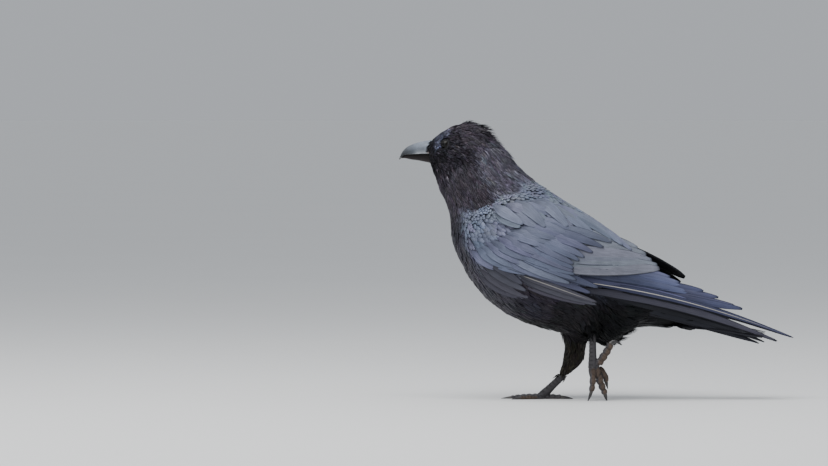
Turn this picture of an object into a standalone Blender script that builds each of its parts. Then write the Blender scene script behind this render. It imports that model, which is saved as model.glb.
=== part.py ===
"""A life-size crow caught in mid stride, as one still model.

Axes: the bird faces -X, its left side faces -Y and +Z is up.  The soles and claw tips rest
on z = 0 and the origin lies on that plane, below the middle of the whole bird.
Sizes below are in millimetres and are scaled to metres as the meshes are made.
"""
import math

import bmesh
import bpy
import numpy as np
from mathutils import Matrix, Vector

MM = 0.001
GAP = 0.35                     # clearance between neighbouring solids
SLIT = 0.3                     # width of the thin cut where one length is parted from the next

# ---- body: one skin lofted through slanting sections, from the bill back to the tail ----
# name: (x, z) under the body, (x, z) on the back, half width, share of the head's turn
SECTIONS = {
    "bill_base": (-187, 259.5, -186, 285.5, 8.5, 1.0),
    "brow": (-184.5, 255.5, -173, 294, 14.5, 1.0),
    "eye": (-183, 251, -157, 302, 20, 1.0),
    "crown": (-181, 245, -135, 305, 24, 1.0),
    "nape": (-177, 237, -117, 290, 27, 0.8),
    "throat": (-171, 227, -102, 274, 29, 0.5),
    "mid_neck": (-165, 215, -86, 256, 32, 0.2),
    "neck_base": (-160, 201, -68, 239, 37, 0.0),
    "shoulder": (-159, 184, -49, 227, 43, 0.0),
    "breast": (-156, 167, -31, 216, 49, 0.0),
    "keel": (-146, 147, -15, 206, 54, 0.0),
    "wide": (-131, 123, 1, 196, 57, 0.0),
    "belly": (-109, 102, 16, 185, 57, 0.0),
    "loin": (-82, 87, 31, 174, 54, 0.0),
    "rump": (-53, 78, 47, 158, 48, 0.0),
    "vent": (-25, 71, 61, 142, 41, 0.0),
    "under_rump": (11, 61, 72, 128, 32, 0.0),
    "tail_coverts": (41, 81, 83, 115, 24, 0.0),
    "tail_root": (83, 79, 103, 105, 16, 0.0),
}
HEAD_TURN = math.radians(-25)  # the head looks to the bird's right
TURN_AXIS_X = -130             # where the upright axis of that turn passes
BODY_SIDES = 26
BODY_STEPS = 2                 # rings for each space between two sections

# ---- bill, in the head's own straight-ahead frame ----
# x, culmen z, mouth z, chin z, half width of the upper half, half width of the lower half
BILL = [
    (-182, 285.8, 270.6, 259.2, 8.2, 7.2),
    (-192, 285.0, 270.4, 260.4, 7.9, 6.9),
    (-201, 283.3, 270.0, 262.0, 6.8, 5.8),
    (-210, 280.6, 269.6, 263.0, 5.4, 4.4),
    (-218, 276.2, 268.4, 264.6, 3.8, 2.8),
    (-223, 271.0, 266.8, 265.6, 2.4, 1.2),
    (-226, 266.4, 264.4, 265.4, 0.8, 0.5),
]
LOWER_BILL_SECTIONS = 6        # the lower half stops short, behind the hooked tip
BILL_SIDES = 10

EYE_RADIUS = 5.6
EYE_X = -161.5
EYE_Z = 280.5
EYE_SIDE = 16.4                  # from the head's middle plane to the middle of the eyeball

# ---- folded wing, left side; the right one is its mirror image ----
# (x, z) of the upper edge, (x, z) of the lower edge, least half width at each edge
WING = [
    (-139, 202, -149, 170, 0, 0),
    (-112, 215, -132, 146, 0, 0),
    (-78, 226, -98, 129, 0, 0),
    (-42, 214, -62, 116, 0, 0),
    (-6, 198, -24, 110, 8, 30),
    (24, 181, 14, 112, 8, 40),
    (51, 165, 46, 110, 8, 36),
    (79, 150, 74, 109, 8, 31),
    (98, 131, 100, 107.5, 9, 27),
]
WING_PARTING = 4               # row where the coverts end and the secondaries begin
WING_LIFT = 3.0                # how far the wing stands out from the flank
WING_SOFTNESS = 6.0            # rounds the change from flank to free wing
COVERT_THICKNESS = 6.0
SECONDARY_THICKNESS = 4.0
WING_COLUMNS = 8

LONG_PRIMARIES = [
    (10, 113, 8, 106, 41, 42),
    (46, 110, 44, 104, 36, 36),
    (75, 108.5, 73, 103, 30, 31),
    (100, 107, 98, 98, 26, 27),
    (130, 98.5, 128, 87, 22, 23),
    (158, 90, 160, 76, 18, 20),
    (191, 81, 193, 68.5, 15, 17),
    (209, 71.5, 209, 63.5, 13, 15),
    (217.4, 66.8, 216.6, 64.6, 13, 14),
]
INNER_PRIMARIES = [
    (99.4, 121, 100.4, 109.5, 19, 26),
    (125, 114, 127, 103.5, 17, 22),
    (148, 106, 150, 100.5, 14, 17),
    (160, 101.6, 160, 99.8, 13, 14),
]
PRIMARY_THICKNESS = (3.2, 1.4)

# ---- tail: a shallow arch of twelve overlapping feathers ----
# x, z of the under side at its edges, half width, height of the arch, thickness
TAIL = [
    (70, 82, 15, 6, 8),
    (103, 77, 21, 7, 6),
    (128, 76, 26, 7, 4),
    (150, 71, 29, 7, 3),
    (180, 65.6, 31, 6, 2.4),
]
TAIL_END_ROUND = 7             # how far the middle feathers outreach the outer ones
TAIL_COLUMNS = 10

# ---- legs: x, y, z, half length and half width of each level section ----
RIGHT_THIGH = [
    (-20, 23, 98, 22, 17),
    (-21, 21, 80, 19, 15),
    (-21.5, 18, 66, 14.5, 11),
    (-22.5, 16, 54.5, 11, 9),
    (-25, 14, 43.5, 12, 9),
    (-28, 13, 36.5, 10, 7.5),
    (-37, 12.4, 25.5, 5.4, 4.5),
]
LEFT_THIGH = [
    (-20, -20, 106, 20, 14),
    (-16, -22, 94, 17, 12),
    (-11, -24, 84, 12, 9),
    (-6, -27, 74, 5.5, 5.5),
]
THIGH_SIDES = 12

RIGHT_FOOT = (-58, 12, 4.9)    # joint of the toes, planted
LEFT_FOOT = (-5, -30, 37)      # joint of the toes, lifted
RIGHT_TARSUS = [(-24, 13, 37), (-36, 12.6, 26), (-48, 12.2, 14.5), RIGHT_FOOT, (-62.8, 12, 2.7)]
LEFT_TARSUS = [(-5, -27, 88), (-5, -28, 70), (-5, -29.4, 52), LEFT_FOOT, (-3.2, -30, 32)]
TARSUS_RADII = [3.8, 3.5, 3.9, 4.9, 3.3]   # the last stretch is the ball that the toes spread from
TUBE_SIDES = 10
TUBE_STEPS = 3

# planted toes: turn from straight ahead in degrees, sideways set of the root, start, toe and claw lengths
PLANTED_TOES = {
    "inner": (-22, -5.8, 1.4, 27, 10),
    "middle": (0, 0, 2.2, 35, 12),
    "outer": (24, 5.8, 1.4, 28, 10),
    "hind": (182, 0, 4.5, 19, 14),
}
PLANTED_HEADING = math.radians(4)
SOLE_SINK = 0.57               # height of a planted toe's middle as a share of its radius

# lifted toes: points from the joint to the claw tip, and the claw's share of the way
LIFTED_TOES = {
    "inner": ([(-6.5, -36.3, 35), (-5, -36.2, 24), (-6.5, -36.7, 11), (-10.5, -37.2, -0.9)], 0.33),
    "middle": ([(-1, -30, 34), (3.6, -30, 20), (8.2, -30, 8.5), (10.6, -30, -0.9)], 0.33),
    "outer": ([(2, -23.7, 35), (8, -23.6, 29), (10, -23.2, 21), (11.8, -22.8, 12.5)], 0.34),
    "hind": ([(1.8, -30, 41.5), (6.5, -30, 48), (12, -29.8, 56.5), (15, -29.6, 63), (20.5, -29.4, 65),
              (27, -29.2, 61)], 0.44),
}
LIFTED_STOUTNESS = {"inner": 1.0, "middle": 1.15, "outer": 1.0, "hind": 1.25}
TOE_RADII = [2.9, 2.9, 2.7, 2.4, 1.7, 0.5]

COLOURS = {
    "plumage": ((0.016, 0.015, 0.017, 1), 0.62),
    "wing": ((0.014, 0.016, 0.026, 1), 0.45),
    "bill": ((0.060, 0.066, 0.080, 1), 0.34),
    "eye": ((0.010, 0.006, 0.004, 1), 0.08),
    "scale": ((0.040, 0.036, 0.034, 1), 0.55),
    "claw": ((0.018, 0.016, 0.016, 1), 0.30),
}


def spline(rows, t):
    """Smooth curve through the rows of a table, at t = 0 for the first and len - 1 for the last."""
    rows = np.asarray(rows, float)
    last = len(rows) - 1
    i = min(max(int(t), 0), last - 1)
    f = t - i
    before = rows[i - 1] if i > 0 else 2 * rows[0] - rows[1]
    after = rows[i + 2] if i + 2 <= last else 2 * rows[last] - rows[last - 1]
    a, b = rows[i], rows[i + 1]
    return 0.5 * (2 * a + (b - before) * f + (2 * before - 5 * a + 4 * b - after) * f ** 2
                  + (3 * a - before - 3 * b + after) * f ** 3)


def turned(point, share=1.0):
    """A point in millimetres, carried round with the head by a share of its turn."""
    axis = Vector((TURN_AXIS_X, 0, 0))
    return Matrix.Rotation(HEAD_TURN * share, 3, 'Z') @ (Vector(point) - axis) + axis


ROWS = list(SECTIONS.values())
PLACE = {name: i for i, name in enumerate(SECTIONS)}


def body_ring(t, shift=0.0):
    """One slanting oval of the body, moved by shift across its own plane."""
    x_low, z_low, x_top, z_top, half_width, share = spline(ROWS, t)
    middle = Vector(((x_low + x_top) / 2, 0, (z_low + z_top) / 2))
    rise = Vector(((x_top - x_low) / 2, 0, (z_top - z_low) / 2))
    backward = Vector((rise.z, 0, -rise.x)).normalized()
    ring = []
    for k in range(BODY_SIDES):
        angle = 2 * math.pi * k / BODY_SIDES
        point = middle + rise * math.cos(angle) + Vector((0, half_width * math.sin(angle), 0))
        ring.append(turned(point + backward * shift, share))
    return ring


def flank(x, z):
    """Half width of the trunk beside the side-view point (x, z), or 0 off the trunk."""
    for t in np.linspace(PLACE["neck_base"], len(ROWS) - 1, 241):
        x_low, z_low, x_top, z_top, half_width, _ = spline(ROWS, t)
        across, up = x_top - x_low, z_top - z_low
        if across * (z - z_low) - up * (x - x_low) >= 0:
            share = ((x - x_low) * across + (z - z_low) * up) / (across ** 2 + up ** 2)
            return half_width * math.sqrt(max(0.0, 1 - (2 * share - 1) ** 2))
    return 0.0


def collection(name):
    made = bpy.data.collections.new(name)
    bpy.context.scene.collection.children.link(made)
    return made


def add_object(name, bm, look, home):
    """Turn a bmesh in millimetres into a named object in metres with its own material."""
    bmesh.ops.triangulate(bm, faces=bm.faces)
    bmesh.ops.recalc_face_normals(bm, faces=bm.faces)
    bmesh.ops.scale(bm, vec=(MM, MM, MM), verts=bm.verts)
    mesh = bpy.data.meshes.new(name)
    bm.to_mesh(mesh)
    bm.free()
    obj = bpy.data.objects.new(name, mesh)
    home.objects.link(obj)
    if look:
        colour, roughness = COLOURS[look]
        material = bpy.data.materials.new(name + "_" + look)
        material.use_nodes = True
        shader = material.node_tree.nodes["Principled BSDF"]
        shader.inputs["Base Color"].default_value = colour
        shader.inputs["Roughness"].default_value = roughness
        shader.inputs["Metallic"].default_value = 0.0
        mesh.materials.append(material)
    return obj


def loft(rings):
    """Closed body through rings of equally many points."""
    bm = bmesh.new()
    layers = [[bm.verts.new(point) for point in ring] for ring in rings]
    for low, high in zip(layers, layers[1:]):
        for k in range(len(low)):
            j = (k + 1) % len(low)
            bm.faces.new((low[k], low[j], high[j], high[k]))
    bm.faces.new(layers[0])
    bm.faces.new(layers[-1])
    return bm


def plate(outer, inner):
    """Closed curved sheet between two grids of points."""
    bm = bmesh.new()
    grids = [[[bm.verts.new(point) for point in row] for row in grid] for grid in (outer, inner)]
    rows, columns = len(outer), len(outer[0])
    for grid in grids:
        for i in range(rows - 1):
            for j in range(columns - 1):
                bm.faces.new((grid[i][j], grid[i + 1][j], grid[i + 1][j + 1], grid[i][j + 1]))
    rim = [(i, 0) for i in range(rows)] + [(rows - 1, j) for j in range(1, columns)]
    rim += [(i, columns - 1) for i in range(rows - 2, -1, -1)] + [(0, j) for j in range(columns - 2, 0, -1)]
    for (i, j), (m, n) in zip(rim, rim[1:] + rim[:1]):
        bm.faces.new((grids[0][i][j], grids[0][m][n], grids[1][m][n], grids[1][i][j]))
    return bm


def tube(path, radii, start=0.0, end=1.0):
    """Tapering round bar on a smooth path between two shares of it, flattened on the floor."""
    count = max(3, round((end - start) * TUBE_STEPS * (len(path) - 1)) + 1)
    rings = []
    side = None
    for s in np.linspace(start, end, count):
        t = s * (len(path) - 1)
        centre = Vector(spline(path, t))
        ahead = (Vector(spline(path, t + 0.02)) - Vector(spline(path, t - 0.02))).normalized()
        side = ahead.cross(Vector((0, 0, 1)) if side is None else side.cross(ahead)).normalized()
        up = side.cross(ahead)
        radius = float(np.interp(s, np.linspace(0, 1, len(radii)), radii))
        ring = []
        for k in range(TUBE_SIDES):
            angle = 2 * math.pi * (k + 0.5) / TUBE_SIDES
            point = centre + radius * (math.cos(angle) * side + math.sin(angle) * up)
            ring.append(Vector((point.x, point.y, max(point.z, 0.0))))
        rings.append(ring)
    return loft(rings)


def cut(target, other, home, gap=GAP):
    """Take the shape of another piece, grown by the clearance, out of this one."""
    bm = bmesh.new()
    bm.from_mesh(other.data)
    bm.normal_update()
    moves = [v.normal * gap * MM * min(v.calc_shell_factor(), 2.5) for v in bm.verts]
    for v, move in zip(bm.verts, moves):
        v.co += move
    mesh = bpy.data.meshes.new("cut_" + other.name)
    bm.to_mesh(mesh)
    bm.free()
    cutter = bpy.data.objects.new("cut_%s_from_%s" % (other.name, target.name), mesh)
    home.objects.link(cutter)
    cutter.hide_render = True
    cutter.display_type = 'WIRE'
    modifier = target.modifiers.new(cutter.name, 'BOOLEAN')
    modifier.operation = 'DIFFERENCE'
    modifier.solver = 'EXACT'
    modifier.object = cutter


def make_body(parts):
    """Head, neck and trunk: lengths of one loft, parted by thin cuts."""
    ends = [("head", "bill_base", "nape"), ("neck", "nape", "neck_base"), ("trunk", "neck_base", "tail_root")]
    pieces = {}
    for name, first, last in ends:
        steps = (PLACE[last] - PLACE[first]) * BODY_STEPS
        rings = []
        for i, t in enumerate(np.linspace(PLACE[first], PLACE[last], steps + 1)):
            shift = SLIT / 2 if i == 0 else -SLIT / 2 if i == steps else 0.0
            rings.append(body_ring(t, shift))
        pieces[name] = add_object(name, loft(rings), "plumage", parts)
    return pieces


def half_bill(upper):
    """One half of the bill: a rounded ridge over a flat mouth face."""
    rings = []
    sections = BILL if upper else BILL[:LOWER_BILL_SECTIONS]
    for x, culmen, mouth, chin, upper_width, lower_width in sections:
        base = mouth + SLIT / 2 if upper else mouth - SLIT / 2
        reach = culmen - base if upper else chin - base
        width = upper_width if upper else lower_width
        ring = []
        for k in range(BILL_SIDES + 1):
            angle = math.pi * k / BILL_SIDES
            ring.append(turned((x, width * math.cos(angle), base + reach * math.sin(angle) ** 0.85)))
        rings.append(ring)
    return loft(rings)


def make_head_details(parts, cutters, head):
    for name, upper in (("bill_upper", True), ("bill_lower", False)):
        bill = add_object(name, half_bill(upper), "bill", parts)
        cut(bill, head, cutters)
    for name, side in (("eye_left", -1), ("eye_right", 1)):
        bm = bmesh.new()
        bmesh.ops.create_uvsphere(bm, u_segments=12, v_segments=8, radius=EYE_RADIUS)
        centre = turned((EYE_X, side * EYE_SIDE, EYE_Z))
        bmesh.ops.translate(bm, vec=centre, verts=bm.verts)
        eye = add_object(name, bm, "eye", parts)
        cut(head, eye, cutters, 0.3)


def wing_grid(start, end, thickness, side):
    """Outer and inner faces of a length of the folded wing."""
    outer, inner = [], []
    for t in np.linspace(start, end, max(3, round((end - start) * 2) + 1)):
        x_top, z_top, x_low, z_low, least_top, least_low = spline(WING, t)
        heart = Vector(((x_top + x_low) / 2, 0, (z_top + z_low) / 2 - 20))
        outer_row, inner_row = [], []
        for v in np.linspace(0, 1, WING_COLUMNS + 1):
            x, z = x_top + (x_low - x_top) * v, z_top + (z_low - z_top) * v
            on_body = flank(x, z) + WING_LIFT
            free = least_top + (least_low - least_top) * math.sin(v * math.pi / 2)
            width = (on_body + free + math.hypot(on_body - free, WING_SOFTNESS)) / 2
            point = Vector((x, side * width, z))
            outer_row.append(point)
            inner_row.append(point + (heart - point).normalized() * thickness)
        outer.append(outer_row)
        inner.append(inner_row)
    return outer, inner


def feather_blade(rows, side):
    """A bundle of long feathers: a thin standing blade that tapers to its tip."""
    outer, inner = [], []
    last = len(rows) - 1
    for t in np.linspace(0, last, last * 2 + 1):
        x_top, z_top, x_low, z_low, y_top, y_low = spline(rows, t)
        thickness = np.interp(t, (0, last), PRIMARY_THICKNESS)
        outer_row, inner_row = [], []
        for v in np.linspace(0, 1, 4):
            bulge = 0.8 * math.sin(math.pi * v)
            y = y_top + (y_low - y_top) * v + bulge
            x, z = x_top + (x_low - x_top) * v, z_top + (z_low - z_top) * v
            outer_row.append(Vector((x, side * y, z)))
            inner_row.append(Vector((x, side * (y - thickness), z)))
        outer.append(outer_row)
        inner.append(inner_row)
    return plate(outer, inner)


def make_wing(name, side, parts, cutters, trunk):
    """Four layers of one folded wing, let into the trunk's flank."""
    slit = SLIT / 60
    parting = WING_PARTING
    coverts = add_object(name + "_coverts", plate(*wing_grid(0, parting - slit, COVERT_THICKNESS, side)),
                         "wing", parts)
    secondaries = add_object(name + "_secondaries",
                             plate(*wing_grid(parting + slit, len(WING) - 1, SECONDARY_THICKNESS, side)),
                             "wing", parts)
    inner = add_object(name + "_inner_primaries", feather_blade(INNER_PRIMARIES, side), "wing", parts)
    outer = add_object(name + "_long_primaries", feather_blade(LONG_PRIMARIES, side), "wing", parts)
    cut(outer, secondaries, cutters)
    cut(outer, coverts, cutters)
    cut(inner, secondaries, cutters)
    for piece in (coverts, secondaries, inner, outer):
        cut(trunk, piece, cutters)
    return outer


def make_tail(parts, cutters, trunk, long_primaries):
    outer, inner = [], []
    last = len(TAIL) - 1
    for t in np.linspace(0, last, last * 2 + 1):
        x, z_edge, half_width, arch, thickness = spline(TAIL, t)
        outer_row, inner_row = [], []
        for v in np.linspace(-1, 1, TAIL_COLUMNS + 1):
            reach = TAIL_END_ROUND * (1 - v * v) * (t / last) ** 2
            z = z_edge + arch * (1 - v * v)
            outer_row.append(Vector((x + reach, half_width * v, z + thickness)))
            inner_row.append(Vector((x + reach, half_width * v, z)))
        outer.append(outer_row)
        inner.append(inner_row)
    tail = add_object("tail", plate(outer, inner), "wing", parts)
    cut(tail, trunk, cutters)
    for blade in long_primaries:
        cut(tail, blade, cutters)


def make_thigh(name, sections, parts, cutters, trunk):
    rings = []
    last = len(sections) - 1
    for t in np.linspace(0, last, last * 2 + 1):
        x, y, z, half_length, half_width = spline(sections, t)
        ring = []
        for k in range(THIGH_SIDES):
            angle = 2 * math.pi * k / THIGH_SIDES
            ring.append(Vector((x + half_length * math.cos(angle), y + half_width * math.sin(angle), z)))
        rings.append(ring)
    thigh = add_object(name, loft(rings), "plumage", parts)
    cut(thigh, trunk, cutters)
    return thigh


def planted_path(turn, offset, start, toe, claw):
    """A toe that lies along the floor, with a claw that arches down to it."""
    heading = PLANTED_HEADING + math.radians(turn)
    along = Vector((-math.cos(heading), math.sin(heading), 0))
    joint = Vector((RIGHT_FOOT[0], RIGHT_FOOT[1] + offset, 0))
    path = []
    for i, radius in enumerate(TOE_RADII):
        height = radius * SOLE_SINK if i < len(TOE_RADII) - 1 else 0.0
        distance = start + (toe + claw - start) * i / (len(TOE_RADII) - 1)
        path.append(tuple(joint + along * distance + Vector((0, 0, height))))
    return path


def make_toe(name, path, claw_share, stout, parts, cutters, neighbours):
    """A toe and its claw, face to face across a thin slit."""
    radii = [radius * stout for radius in TOE_RADII]
    length = sum((Vector(b) - Vector(a)).length for a, b in zip(path, path[1:]))
    slit = SLIT / 2 / length
    joint = 1 - claw_share
    toe = add_object("toe_" + name, tube(path, radii, 0, joint - slit), "scale", parts)
    add_object("claw_" + name, tube(path, radii, joint + slit, 1), "claw", parts)
    for neighbour in neighbours:
        cut(toe, neighbour, cutters)
    return toe


def make_leg(side, thigh_sections, tarsus_path, toes, parts, cutters, trunk):
    thigh = make_thigh("thigh_" + side, thigh_sections, parts, cutters, trunk)
    tarsus = add_object("tarsus_" + side, tube(tarsus_path, TARSUS_RADII), "scale", parts)
    cut(tarsus, thigh, cutters)
    cut(tarsus, trunk, cutters)
    done = []
    for which in ("middle", "inner", "outer", "hind"):
        path, claw_share = toes[which]
        stout = LIFTED_STOUTNESS[which] if side == "left" else 1.0
        done.append(make_toe(side + "_" + which, path, claw_share, stout, parts, cutters, [tarsus] + done))


def main():
    for obj in list(bpy.data.objects):
        bpy.data.objects.remove(obj, do_unlink=True)
    parts = collection("crow")
    cutters = collection("cutters")
    body = make_body(parts)
    make_head_details(parts, cutters, body["head"])
    long_primaries = []
    for name, side in (("wing_left", -1), ("wing_right", 1)):
        long_primaries.append(make_wing(name, side, parts, cutters, body["trunk"]))
    make_tail(parts, cutters, body["trunk"], long_primaries)
    planted = {}
    for which, (turn, offset, start, toe, claw) in PLANTED_TOES.items():
        planted[which] = (planted_path(turn, offset, start, toe, claw), claw / (toe + claw - start))
    make_leg("right", RIGHT_THIGH, RIGHT_TARSUS, planted, parts, cutters, body["trunk"])
    make_leg("left", LEFT_THIGH, LEFT_TARSUS, LIFTED_TOES, parts, cutters, body["trunk"])


main()
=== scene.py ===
"""Looks of the striding crow: skin, plumage, bill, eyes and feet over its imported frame.

Everything is in metres in the frame's own axes: the bird faces -X, its left side faces -Y and
+Z is up.  Guide points are written in millimetres on the model as drawn, and spot() carries
them to the frame's own box.
"""
import math

import bpy
import numpy as np
from bpy.props import FloatProperty, FloatVectorProperty, PointerProperty
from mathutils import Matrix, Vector, kdtree
from mathutils.bvhtree import BVHTree


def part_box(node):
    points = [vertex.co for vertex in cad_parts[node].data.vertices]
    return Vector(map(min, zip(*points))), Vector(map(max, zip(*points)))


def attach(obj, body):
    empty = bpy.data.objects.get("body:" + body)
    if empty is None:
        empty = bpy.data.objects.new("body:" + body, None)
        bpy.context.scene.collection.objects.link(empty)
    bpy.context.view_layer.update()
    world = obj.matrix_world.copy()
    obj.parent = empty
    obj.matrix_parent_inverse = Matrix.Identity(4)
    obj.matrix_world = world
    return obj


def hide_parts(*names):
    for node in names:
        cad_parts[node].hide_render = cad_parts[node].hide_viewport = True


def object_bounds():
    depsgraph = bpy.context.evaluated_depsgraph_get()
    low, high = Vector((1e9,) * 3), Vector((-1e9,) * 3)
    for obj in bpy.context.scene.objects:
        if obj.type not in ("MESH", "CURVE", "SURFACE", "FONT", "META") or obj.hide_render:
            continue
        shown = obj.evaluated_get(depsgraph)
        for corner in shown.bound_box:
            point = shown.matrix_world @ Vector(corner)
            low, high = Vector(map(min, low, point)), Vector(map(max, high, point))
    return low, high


bl_info = {
    "name": "Striding Crow",
    "version": (1, 0, 0),
    "blender": (4, 5, 0),
    "location": "3D View > Sidebar > Crow",
    "description": "Skin, plumage, bill, eyes, feet and studio for a life-size crow on its packed frame",
    "category": "Object",
}

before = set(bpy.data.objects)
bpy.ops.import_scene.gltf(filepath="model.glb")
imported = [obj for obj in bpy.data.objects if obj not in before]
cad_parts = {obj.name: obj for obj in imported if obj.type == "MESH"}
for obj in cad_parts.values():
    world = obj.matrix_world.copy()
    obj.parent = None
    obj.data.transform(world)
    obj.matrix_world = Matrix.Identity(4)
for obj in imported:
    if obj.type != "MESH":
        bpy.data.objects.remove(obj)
CAD_BOX = [list(corner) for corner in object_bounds()]

MM = 0.001
LOW, HIGH = (np.array(corner) for corner in CAD_BOX)
DRAWN_LOW = np.array((-217.4, -60.5, 0.0))      # box of the model as drawn, in millimetres
DRAWN_SIZE = np.array((434.8, 121.0, 305.0))
GROWTH = float(np.mean((HIGH - LOW) / DRAWN_SIZE)) / MM   # frame size over drawn size
SEED = 7

HEAD_TURN = math.radians(-25)   # the head looks to the bird's right
TURN_AXIS = (-130, 0, 0)        # a point on the upright axis of that turn

SIDES = {"left": -1, "right": 1}
FLESH = ("head", "neck", "trunk", "thigh_left", "thigh_right", "wing_left_coverts", "wing_right_coverts")
WING_PARTS = ("coverts", "secondaries", "inner_primaries", "long_primaries")
LEGS = tuple(sorted(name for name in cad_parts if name.startswith(("tarsus", "toe"))))
CLAWS = tuple(sorted(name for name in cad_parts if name.startswith("claw")))


# ------------------------------------------------------------------ places on the frame
def spot(x, y, z):
    """A place drawn in millimetres, carried to the frame's box in metres."""
    return LOW + (np.array((x, y, z), float) - DRAWN_LOW) / DRAWN_SIZE * (HIGH - LOW)


def turned(points, share=1.0):
    """Points carried round with the head by a share of its turn."""
    axis = spot(*TURN_AXIS)
    points = np.asarray(points, float) - axis
    c, s = np.cos(HEAD_TURN * np.asarray(share)), np.sin(HEAD_TURN * np.asarray(share))
    x, y, z = points[..., 0], points[..., 1], points[..., 2]
    return np.stack((x * c - y * s, x * s + y * c, z), -1) + axis


def unit(vectors):
    """Vectors brought to length one."""
    vectors = np.asarray(vectors, float)
    return vectors / np.maximum(np.linalg.norm(vectors, axis=-1, keepdims=True), 1e-12)


def smooth(low, high, value):
    """0 below low, 1 above high, with a soft rise between."""
    t = np.clip((np.asarray(value, float) - low) / (high - low), 0, 1)
    return t * t * (3 - 2 * t)


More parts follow.
